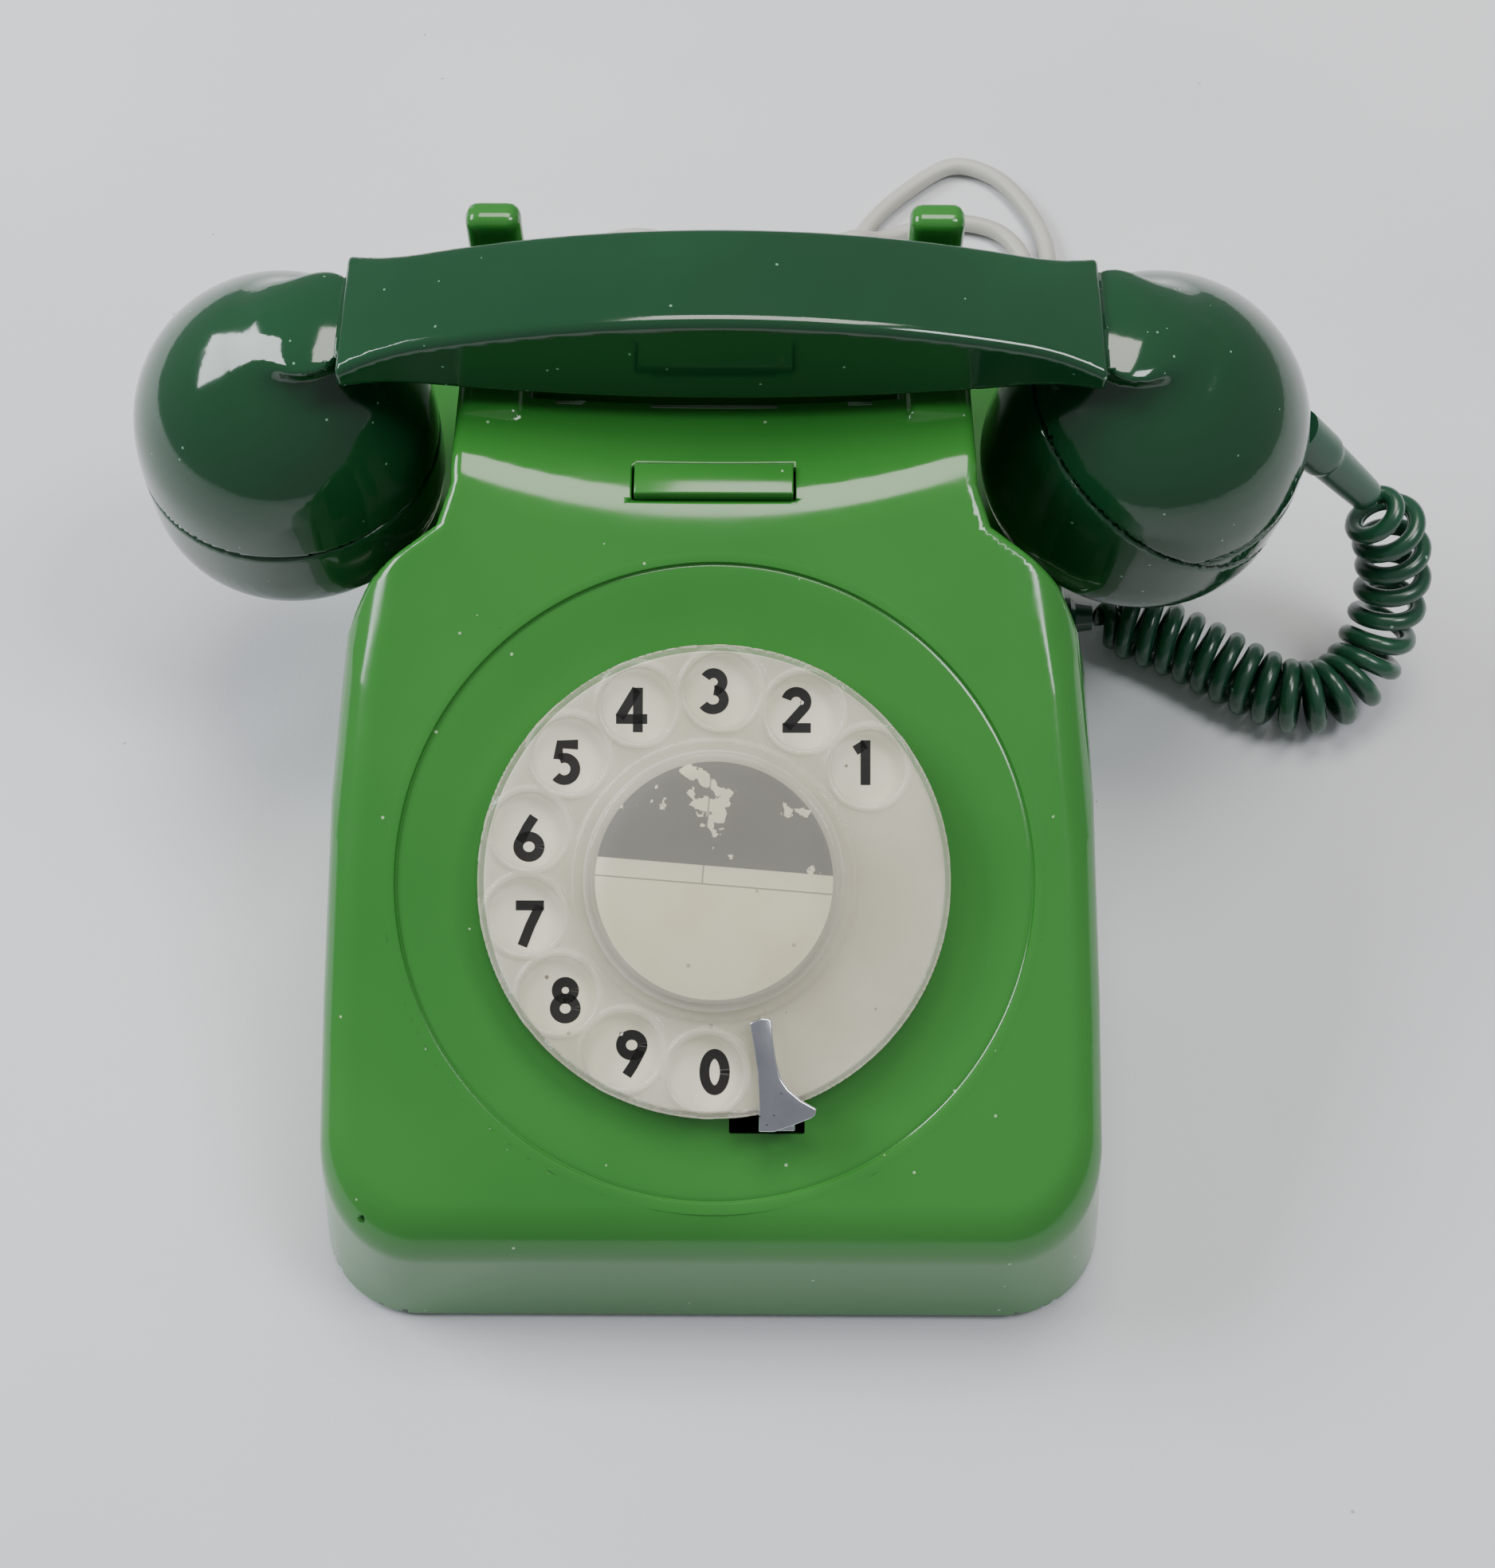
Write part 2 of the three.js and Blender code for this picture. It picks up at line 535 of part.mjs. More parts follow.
// ---- circuit board and what stands on it ----
function buildCircuit() {
  piece('circuit_board', block([-44, -62, 8], [44, 20, 9.6]), BOARD);
  const core = block([-34, -12, 10], [-10, 8, 14]);
  const limbs = [block([-34, -12, 10], [-30, 8, 27]), block([-14, -12, 10], [-10, 8, 27])];
  const yoke = block([-34, -12, 23], [-10, 8, 27]);
  piece('induction_coil_core', join(core, ...limbs, yoke), STEEL);
  piece('induction_coil_winding', block([-29.6, -14, 14.4], [-14.4, 10, 22.6]), COPPER);
  piece('capacitor', block([10, -14, 10], [28, 18, 27]), STEEL);
  piece('line_regulator', block([-36, -42, 10], [-16, -24, 16]), BLACK);
  const strip = block([-8, -58, 10], [38, -50, 15]);
  const screws = [0, 1, 2, 3, 4].map((i) => disc(2, 14, 17, 8).translate(i * 9 - 3, -54, 0));
  piece('terminal_strip', join(strip, ...screws), BLACK);
}

// ---- handset: local x runs along the handle and local y across it ----
const EAR_X = EAR_RADIUS - HANDSET_HALF_LENGTH;
const MOUTH_X = HANDSET_HALF_LENGTH - MOUTH_RADIUS;
const EAR_SEAM = 71;
const MOUTH_TILT = THREE.MathUtils.degToRad(10);
const MOUTH_SEAM_TILT = THREE.MathUtils.degToRad(32);
const MOUTH_PIVOT_Z = 75;

const earCup = (grow = 0) =>
  turned([
    [0, 48 - grow], [22 + grow, 48 - grow], [28 + grow, 51], [EAR_RADIUS + grow, 57],
    [EAR_RADIUS + grow, 76], [29.9 + grow, 83], [27 + grow, 89.5], [22.5 + grow, 96],
    [16 + grow, 102], [8 + grow, 106.5], [0, 108 + grow],
  ], 28).translate(EAR_X, 0, 0);
const placeMouth = (geometry, tilt) => geometry.rotateY(tilt).translate(MOUTH_X, 0, MOUTH_PIVOT_Z);
const mouthCup = (grow = 0) => {
  const r = MOUTH_RADIUS + grow;
  return placeMouth(turned([
    [0, -29 - grow], [20 + grow, -29 - grow], [27.5 + grow, -26], [r, -17], [r, -2], [r - 1, 6],
    [r - 4, 14], [r - 9, 21], [r - 16, 27], [r - 24.5, 31.5], [0, 33 + grow],
  ], 28), MOUTH_TILT);
};
// Half space on one side of the mouth cap's seam.
const mouthSide = (sign) => {
  const thick = 80;
  const slab = new THREE.BoxGeometry(120, 120, thick);
  return placeMouth(slab.translate(0, 0, sign * (thick / 2 + GAP / 2)), MOUTH_SEAM_TILT);
};

function handleArch() {
  const steps = 16;
  const topEnd = 88;
  const lowEnd = 70;
  const top = Array.from({ length: steps + 1 }, (_, i) => {
    const x = topEnd - (2 * topEnd * i) / steps;
    return vec2(x, HANDLE_TOP - 18.3 * (x / 93) ** 2);
  });
  const low = Array.from({ length: steps + 1 }, (_, i) => {
    const x = (2 * lowEnd * i) / steps - lowEnd;
    return vec2(x, HANDLE_UNDERSIDE + 5.2 * (x / 64) ** 2);
  });
  const points = [...low, vec2(topEnd, 99), ...top, vec2(-topEnd, 99)];
  const across = outline([
    [-HANDLE_WIDTH / 2, 90, 4], [HANDLE_WIDTH / 2, 90, 4],
    [HANDLE_WIDTH / 2, 130], [-HANDLE_WIDTH / 2, 130],
  ], 3);
  return overlap(alongY(points, HANDLE_WIDTH), alongX(across, 240));
}

function buildHandset() {
  const add = (name, geometry, material) => piece(name, geometry, material, handset);
  const earBore = turned([[0, 51], [27.5, 51], [27.5, 84], [0, 84]], 24).translate(EAR_X, 0, 0);
  const mouthBore = placeMouth(turned([[0, -26], [27, -26], [27, 11], [0, 11]], 24), MOUTH_TILT);
  const aboveEarSeam = block([-150, -60, EAR_SEAM + GAP / 2], [0, 60, 140]);
  const belowEarSeam = block([-150, -60, 20], [0, 60, EAR_SEAM - GAP / 2]);
  const body = join(
    handleArch(),
    overlap(earCup(), aboveEarSeam),
    overlap(mouthCup(), mouthSide(1)),
  );
  add('handset_handle', cut(body, earBore, mouthBore), HANDSET_GREEN);
  const holes = [vec2(0, 0), ...circle(8, 6)];
  const earHoles = holes.map((p) => disc(1.2, 40, 60, 6).translate(EAR_X + p.x, p.y, 0));
  add('ear_cap', cut(overlap(earCup(), belowEarSeam), earBore, ...earHoles), HANDSET_GREEN);
  const mouthHoles = holes.map((p) =>
    placeMouth(disc(1.2, -40, -20, 6).translate(p.x, p.y, 0), MOUTH_TILT));
  add('mouth_cap', cut(overlap(mouthCup(), mouthSide(-1)), mouthBore, ...mouthHoles), HANDSET_GREEN);
  const receiver = turned([[0, 52], [22, 52], [26, 55], [26, 66], [18, 72], [0, 72]], 18);
  add('receiver_capsule', receiver.translate(EAR_X, 0, 0), STEEL);
  const transmitter = turned([[0, -25], [22, -25], [26, -22], [26, -13], [18, -6], [0, -6]], 18);
  add('transmitter_capsule', placeMouth(transmitter, MOUTH_TILT), BLACK);
  const boot = bar(
    vec3(117 - HANDSET_X, 0, 78), vec3(141 - HANDSET_X, 0, 50), 4.9, 3.6, 16);
  add('handset_cord_boot', cut(boot, mouthCup(GAP)), CORD_GREEN);
}

// ---- cords ----
function buildCords() {
  const gland = (length) =>
    turned([[0, -4], [3.9, -4], [3.9, 0.4], [5, 0.4], [5, 2], [3.6, 3], [3, length], [0, length]], 16);
  const caseSide = 78.9;
  const sideGland = gland(7).rotateY(Math.PI / 2).translate(caseSide, 56, 9);
  piece('handset_cord_gland', sideGland, CORD_GREEN);
  const rearGland = gland(9).rotateX(-Math.PI / 2).translate(60, CASE_HALF_DEPTH, 9);
  piece('line_cord_gland', rearGland, WHITE_CORD);

  const curlRoute = [
    vec3(141.2, 61.5, 49.7), vec3(143.2, 61.2, 47.2), vec3(147.4, 59.4, 40.5),
    vec3(150.3, 56.2, 31.5), vec3(150.9, 51.8, 22.5), vec3(148.9, 46, 14.6),
    vec3(144.4, 39.8, 10.2), vec3(138, 35.6, 9.1), vec3(130.5, 35, 8.9),
    vec3(122.5, 38.4, 8.9), vec3(114.5, 43.6, 8.9), vec3(106.5, 48.6, 8.9),
    vec3(98.5, 52.6, 8.9), vec3(92, 55.6, 8.8), vec3(86.9, 56, 9),
  ];
  piece('curly_cord', tube(curlRoute, CURL_RADIUS, 10, 26), CORD_GREEN);

  const low = LINE_CORD_RADIUS + 0.25;
  const lineRoute = [
    vec3(60, CASE_HALF_DEPTH + 9.6, 9), vec3(60, 119, 8.7), vec3(61.2, 127, 4.8), vec3(66, 136, low),
    vec3(74, 145, low), vec3(81, 156, low), vec3(82.5, 170, low), vec3(78, 184, low),
    vec3(70, 194.5, low), vec3(60, 198, low), vec3(48, 190, low), vec3(37, 177, low),
    vec3(31, 162, low), vec3(35, 148, low), vec3(48, 141, low), vec3(62, 144, low),
    vec3(73, 153, low), vec3(76.5, 166, low), vec3(71, 175.5, low), vec3(60, 179, low),
    vec3(49, 176.5, low), vec3(40, 172, 3.8), vec3(33, 169.6, 7.2), vec3(25, 168.4, 4.5),
    vec3(16, 168.2, low), vec3(5, 168.4, low), vec3(-5, 168.5, low), vec3(-16, 168.4, low),
  ];
  piece('line_cord', tube(lineRoute, LINE_CORD_RADIUS, 8, 64), WHITE_CORD);
  const coil = turned([
    [COIL_RADIUS - 7, 0.2], [COIL_RADIUS + 7, 0.2], [COIL_RADIUS + 7, 13], [COIL_RADIUS - 7, 13],
  ], 32);
  piece('line_cord_coil', coil.translate(COIL_CENTRE.x, COIL_CENTRE.y, 0), WHITE_CORD);
  const plugBody = block([-58, COIL_RADIUS - 2.2, 0.3], [-39.8, COIL_RADIUS + 11.8, 10]);
  const plugTail = block([-40.2, COIL_RADIUS + 2.4, 1.6], [-18.2, COIL_RADIUS + 7.2, 6.4]);
  const plug = join(plugBody, plugTail).rotateZ(Math.PI / 4);
  piece('line_plug', plug.translate(COIL_CENTRE.x, COIL_CENTRE.y, 0), WHITE_CORD);
}

buildCase();
buildDial();
buildDialBracket();
buildBell();
buildCradleSwitch();
buildCircuit();
buildHandset();
buildCords();

export default telephone;
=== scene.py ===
import math

import bmesh
import bpy
import numpy as np
from mathutils import Matrix, Vector


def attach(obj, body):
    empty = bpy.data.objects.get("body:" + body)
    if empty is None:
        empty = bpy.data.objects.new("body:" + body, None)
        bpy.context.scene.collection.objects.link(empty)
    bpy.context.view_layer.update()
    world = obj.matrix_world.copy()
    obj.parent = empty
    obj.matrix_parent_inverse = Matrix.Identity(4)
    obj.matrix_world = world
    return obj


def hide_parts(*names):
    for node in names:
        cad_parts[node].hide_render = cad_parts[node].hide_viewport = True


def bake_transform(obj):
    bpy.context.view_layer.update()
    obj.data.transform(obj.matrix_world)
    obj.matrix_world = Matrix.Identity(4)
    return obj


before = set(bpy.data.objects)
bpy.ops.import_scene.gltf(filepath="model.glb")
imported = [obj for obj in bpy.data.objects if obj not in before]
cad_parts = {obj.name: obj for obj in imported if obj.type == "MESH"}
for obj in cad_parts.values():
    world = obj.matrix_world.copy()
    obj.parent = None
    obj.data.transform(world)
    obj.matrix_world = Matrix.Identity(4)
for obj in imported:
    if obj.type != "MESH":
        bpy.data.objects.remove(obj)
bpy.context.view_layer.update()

# --- the sheet it stands on, the light and the camera -----------------------------------
# A plain white cotton sheet on a table, two large windows of daylight to the left and
# right, and a warm lamp overhead. The camera looks down over the dial from the front.
MM = 0.001


def colour(code):
    """The linear colour of a paint code such as 4a8741."""
    parts = [int(code[i : i + 2], 16) / 255 for i in (0, 2, 4)]
    return tuple(c / 12.92 if c <= 0.04045 else ((c + 0.055) / 1.055) ** 2.4 for c in parts) + (1,)


def group_socket(group, label, kind, way="INPUT", value=None):
    socket = group.interface.new_socket(name=label, in_out=way, socket_type=kind)
    if value is not None:
        socket.default_value = value


def wired(tree, kind, **inputs):
    """A node of that kind, with each named input set to a value or joined to an output."""
    node = tree.nodes.new(kind)
    for label, value in inputs.items():
        socket = node.inputs[int(label[1:])] if label[0] == "_" else node.inputs[label]
        if isinstance(value, bpy.types.NodeSocket):
            tree.links.new(value, socket)
        else:
            socket.default_value = value
    return node


def arithmetic(tree, operation, first, second=0.0, third=0.0):
    node = wired(tree, "ShaderNodeMath", _0=first, _1=second, _2=third)
    node.operation = operation
    return node.outputs[0]


def stepped(tree, value, low, high, bottom=0.0, top=1.0):
    """value taken from low..high to bottom..top along a smooth curve."""
    node = wired(tree, "ShaderNodeMapRange", _0=value, _1=low, _2=high, _3=bottom, _4=top)
    node.interpolation_type = "SMOOTHSTEP"
    return node.outputs[0]


def blended(tree, share, first, second):
    node = tree.nodes.new("ShaderNodeMix")
    node.data_type = "RGBA"
    for socket, value in zip((node.inputs[0], node.inputs[6], node.inputs[7]), (share, first, second)):
        if isinstance(value, bpy.types.NodeSocket):
            tree.links.new(value, socket)
        else:
            socket.default_value = value
    return node.outputs[2]


def handled_surface():
    """Mottled colour, dust specks, wiped gloss and fine unevenness, as a used object has."""
    group = bpy.data.node_groups.new("handled_surface", "ShaderNodeTree")
    for label in ("Colour", "Second Colour", "Dust Colour"):
        group_socket(group, label, "NodeSocketColor")
    for label, value in (
        ("Mottle Scale", 18.0), ("Dust Share", 0.02), ("Dust Scale", 700.0),
        ("Gloss Roughness", 0.15), ("Dull Roughness", 0.3), ("Grain Scale", 900.0),
    ):
        group_socket(group, label, "NodeSocketFloat", value=value)
    group_socket(group, "Colour", "NodeSocketColor", "OUTPUT")
    group_socket(group, "Roughness", "NodeSocketFloat", "OUTPUT")
    group_socket(group, "Height", "NodeSocketFloat", "OUTPUT")
    given = group.nodes.new("NodeGroupInput").outputs
    place = group.nodes.new("ShaderNodeTexCoord").outputs["Object"]
    mottle = wired(group, "ShaderNodeTexNoise", Vector=place, Scale=given["Mottle Scale"], Detail=4.0)
    mottled = blended(
        group, stepped(group, mottle.outputs[0], 0.35, 0.65), given["Colour"], given["Second Colour"]
    )
    cells = wired(group, "ShaderNodeTexVoronoi", Vector=place, Scale=given["Dust Scale"])
    chance = wired(group, "ShaderNodeSeparateColor", Color=cells.outputs["Color"]).outputs[0]
    chosen = arithmetic(group, "LESS_THAN", chance, given["Dust Share"])
    near = arithmetic(group, "LESS_THAN", cells.outputs["Distance"], 0.28)
    speck = arithmetic(group, "MULTIPLY", chosen, near)
    dusty = blended(group, speck, mottled, given["Dust Colour"])
    wiped = wired(group, "ShaderNodeTexNoise", Vector=place, Scale=55.0, Detail=6.0)
    worn = wired(
        group, "ShaderNodeMapRange",
        _0=wiped.outputs[0], _1=0.35, _2=0.7, _3=given["Gloss Roughness"], _4=given["Dull Roughness"],
    ).outputs[0]
    grain = wired(group, "ShaderNodeTexNoise", Vector=place, Scale=given["Grain Scale"], Detail=3.0)
    height = arithmetic(group, "MULTIPLY_ADD", speck, 1.5, grain.outputs[0])
    put = group.nodes.new("NodeGroupOutput").inputs
    for label, socket in (("Colour", dusty), ("Roughness", worn), ("Height", height)):
        group.links.new(socket, put[label])
    return group


HANDLED = handled_surface()


def material(name, first, second, gloss, dull, bump=0.02, dust="d8d8d0", fixed=None, **marks):
    """A finish made of the handled surface, with its fixed shader values on their sockets."""
    made = bpy.data.materials.new(name)
    made.use_nodes = True
    tree = made.node_tree
    shader = tree.nodes["Principled BSDF"]
    surface = tree.nodes.new("ShaderNodeGroup")
    surface.node_tree = HANDLED
    values = {"Colour": colour(first), "Second Colour": colour(second), "Dust Colour": colour(dust)}
    values |= {"Gloss Roughness": gloss, "Dull Roughness": dull} | marks
    for label, value in values.items():
        surface.inputs[label].default_value = value
    tree.links.new(surface.outputs["Colour"], shader.inputs["Base Color"])
    tree.links.new(surface.outputs["Roughness"], shader.inputs["Roughness"])
    raised = wired(tree, "ShaderNodeBump", Height=surface.outputs["Height"], Strength=bump, Distance=0.0004)
    tree.links.new(raised.outputs[0], shader.inputs["Normal"])
    for label, value in (fixed or {}).items():
        shader.inputs[label].default_value = value
    return made


def named_object(name, mesh, surface=None):
    made = bpy.data.objects.new(name, mesh)
    bpy.context.scene.collection.objects.link(made)
    if surface:
        mesh.materials.append(surface)
    return made


def faced_mesh(name, points, faces, smooth=True):
    """A mesh from points in millimetres."""
    mesh = bpy.data.meshes.new(name)
    mesh.from_pydata([tuple(c * MM for c in p) for p in points], [], faces)
    mesh.polygons.foreach_set("use_smooth", [smooth] * len(mesh.polygons))
    mesh.update()
    return mesh


sheet_cotton = material(
    "sheet_cotton", "d6d6d9", "cfcfd3", 0.85, 0.95, 0.15, "a8a8ac",
    {"Specular IOR Level": 0.2}, **{"Mottle Scale": 5.0, "Dust Share": 0.0006, "Grain Scale": 1400.0},
)
SHEET_STEPS = 90
sheet_span = np.linspace(-900, 900, SHEET_STEPS + 1)
sheet_points = [
    (x, y, -0.4 + 0.35 * math.sin(x / 61 + y / 140) * math.sin(y / 83 - x / 190))
    for y in sheet_span for x in sheet_span
]
sheet_faces = [
    (i + j, i + j + 1, i + j + SHEET_STEPS + 2, i + j + SHEET_STEPS + 1)
    for j in range(0, SHEET_STEPS * (SHEET_STEPS + 1), SHEET_STEPS + 1) for i in range(SHEET_STEPS)
]
table_sheet = named_object("table_sheet", faced_mesh("table_sheet", sheet_points, sheet_faces), sheet_cotton)

world = bpy.data.worlds.new("room")
bpy.context.scene.world = world
world.use_nodes = True
world.node_tree.nodes["Background"].inputs[0].default_value = (0.78, 0.8, 0.84, 1)
world.node_tree.nodes["Background"].inputs[1].default_value = 0.4


def soft_light(name, place, target, width, height, watts, tint=(1, 1, 1)):
    lamp = bpy.data.lights.new(name, "AREA")
    lamp.shape = "RECTANGLE"
    lamp.size = width
    lamp.size_y = height
    lamp.energy = watts
    lamp.color = tint
    holder = bpy.data.objects.new(name, lamp)
    bpy.context.scene.collection.objects.link(holder)
    holder.location = place
    holder.rotation_euler = (Vector(target) - Vector(place)).to_track_quat("-Z", "Y").to_euler()
    return holder


soft_light("window_left", (-1.15, 0.35, 1.05), (0, 0, 0), 0.9, 0.6, 25, (0.93, 0.97, 1))
soft_light("window_right", (0.75, -0.1, 1.5), (0, 0, 0), 0.5, 0.5, 12, (0.96, 0.98, 1))
soft_light("ceiling", (0.1, 0.6, 1.7), (0, 0, 0), 0.8, 0.8, 19, (1, 0.97, 0.9))

camera_data = bpy.data.cameras.new("camera")
camera_data.lens = 58.31
camera_data.sensor_width = 36
camera_data.sensor_fit = "HORIZONTAL"
camera = bpy.data.objects.new("camera", camera_data)
bpy.context.scene.collection.objects.link(camera)
VIEW_DOWN = math.radians(62.05)
VIEW_ROLL = math.radians(0.22)
ahead = Vector((0, math.cos(VIEW_DOWN), -math.sin(VIEW_DOWN)))
level_up = Vector((0, math.sin(VIEW_DOWN), math.cos(VIEW_DOWN)))
level_right = Vector((1, 0, 0))
camera_right = level_right * math.cos(VIEW_ROLL) + level_up * math.sin(VIEW_ROLL)
camera_up = level_up * math.cos(VIEW_ROLL) - level_right * math.sin(VIEW_ROLL)
turn = Matrix((camera_right, camera_up, -ahead)).transposed().to_4x4()
camera.matrix_world = Matrix.Translation((0.00679, -0.2402, 0.48441)) @ turn
bpy.context.scene.camera = camera

# --- base plate, feet and case screws ---------------------------------------------------
# A pressed and plated steel base closes the case from below. Four rubber feet are pressed
# into it, and two screws pull the case down on to it.
steel = material(
    "steel", "a9abb0", "8f9196", 0.28, 0.42, 0.05, fixed={"Metallic": 1.0},
    **{"Mottle Scale": 60.0, "Dust Share": 0.01, "Grain Scale": 2600.0},
)
foot_rubber = material("foot_rubber", "201f20", "2b2a2a", 0.6, 0.8, 0.12, **{"Grain Scale": 1800.0})


def finish_nodes(surface, *nodes):
    """Gives CAD nodes that stay as they are their finish."""
    for name in nodes:
        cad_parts[name].material_slots[0].material = surface


finish_nodes(steel, "base_plate", "case_screw_left", "case_screw_right")
finish_nodes(foot_rubber, "foot_1", "foot_2", "foot_3", "foot_4")

# --- case -------------------------------------------------------------------------------
# One injection moulding in glossy light green plastic, hollow and open below. The sloping
# face carries the dial dish, and the neck behind it carries the handset.
FACE_SLOPE = math.radians(25)
DIAL_CENTRE = (0.5, -38.7, 64.9)
CASE_WALL = 2.5
DISH_RADIUS = 62.4


def soft_max(a, b, r):
    """Where two solids overlap, with the edge between them rounded to r."""
    return np.minimum(-r, np.maximum(a, b)) + np.hypot(np.maximum(a + r, 0), np.maximum(b + r, 0))


def soft_min(a, b, r):
    """Two solids joined, with the corner between them filled to r."""
    return -soft_max(-a, -b, r)


def both(*parts):
    return np.maximum(parts[0], both(*parts[1:])) if len(parts) > 1 else parts[0]


def box_field(place, low, high, r=0.0):
    spans = [np.abs(p - (a + b) / 2) - (b - a) / 2 + r for p, a, b in zip(place, low, high)]
    outside = np.sqrt(sum(np.maximum(s, 0) ** 2 for s in spans))
    return outside + np.minimum(both(*spans), 0) - r


def outline_field(corners, a, b):
    """Signed distance to a closed outline in two directions, negative inside."""
    nearest = np.float32(1e9)
    inside = np.ones(np.broadcast(a, b).shape, np.float32)
    for (ax, ay), (bx, by) in zip(corners, corners[-1:] + corners[:-1]):
        ex, ey = bx - ax, by - ay
        wx, wy = a - ax, b - ay
        along = np.clip((wx * ex + wy * ey) / (ex * ex + ey * ey), 0, 1)
        nearest = np.minimum(nearest, (wx - ex * along) ** 2 + (wy - ey * along) ** 2)
        side = ex * wy > ey * wx
        flip = ((b >= ay) & (b < by) & side) | ((b < ay) & (b >= by) & ~side)
        inside = np.where(flip, -inside, inside)
    return inside * np.sqrt(nearest)


def on_face(x, y, z):
    """Across, up and out from the sloping face, measured from the dial's middle."""
    cx, cy, cz = DIAL_CENTRE
    up = (y - cy) * math.cos(FACE_SLOPE) + (z - cz) * math.sin(FACE_SLOPE)
    out = (z - cz) * math.cos(FACE_SLOPE) - (y - cy) * math.sin(FACE_SLOPE)
    return x - cx, up, out


SCOOP_RADIUS = 330
SCOOP_FLOOR = 95
FINGER_SPACE = (-37, 51.8, 92.2), (37, 130, 150)  # under the handle, open to the rear
CARRY_RECESS = (-36, 88, 50), (36, 130, 76)


def case_form(x, y, z):
    across = np.abs(x)
    half = np.interp(
        z, [2, 36, 50, 66, 80, 90.5, 120], [79, 75.8, 75.4, 74.3, 71.4, 67.6, 56]
    ).astype(np.float32)
    front = (0.106 * (z - 1.5) - 105.6 - y) * 0.994
    rear = y - 105.6 + 0.016 * (z - 1.5)
    walls = soft_max(soft_max((across - half) * 0.99, front, 20), rear, 12)
    face = (z - 35.4 - (y + 102) * math.tan(FACE_SLOPE)) * math.cos(FACE_SLOPE)
    form = soft_max(walls, soft_max(face, z - 100, 2), 7)
    cup_space = outline_field(
        [(100, 10), (100, 130), (50.5, 130), (50.5, 60), (51.3, 32), (54, 24.5), (67.5, 15.5), (72, 10)],
        across, y,
    )
    form = soft_max(form, -soft_max(cup_space, 40 - z, 5), 2.6)
    rear_slope = (18 * (y - 104.3) + 18.3 * (z - 82)) / math.hypot(18, 18.3)
    form = soft_max(form, rear_slope, 3)
    scoop = both(np.hypot(x, SCOOP_FLOOR + SCOOP_RADIUS - z) - SCOOP_RADIUS, y - 76)
    form = soft_max(form, -scoop, 2.2)
    form = both(form, -box_field((x, y, z), *FINGER_SPACE, 1))
    return soft_max(form, -box_field((x, y, z), *CARRY_RECESS, 5), 2)


def case_field(x, y, z):
    across = np.abs(x)
    u, v, w = on_face(x, y, z)
    radius = np.hypot(u, v)
    form = case_form(x, y, z)
    backing = both(radius - 66, -5.3 - w)
    room = both(form + CASE_WALL, -backing)
    shell = both(form, -both(radius - DISH_RADIUS, -5.7 - w))
    seat = box_field((across, y, z), (38.5, 47, 88), (49.5, 76, 98.7), 1)
    horn = box_field((across, y, z), (38.5, 80, 92), (49.5, 86.6, 115.6), 2.5)
    boss = both(np.hypot(across - 64, y - 70) - 4.5, 6 - z, z - 40)
    shell = soft_min(soft_min(shell, seat, 1.5), horn, 2.5)
    shell = np.minimum(both(shell, -room), boss)
    openings = (
        box_field((u, v, w), (3, -48.4, -12), (17.5, -43.6, 6)),
        box_field((across, y, z), (41.4, 55.1, 60), (46.6, 67.9, 110)),
        box_field((x, y, z), (-15.9, 28.9, 80), (15.9, 36.7, 120)),
        both(np.hypot(across - 64, y - 70) - 1.9, z - 20),
        both(np.hypot(y - 56, z - 9) - 4.4, 60 - x),
        both(np.hypot(x - 60, z - 9) - 4.4, 90 - y),
    )
    for opening in openings:
        shell = both(shell, -opening)
    return both(shell, 1.5 - z)


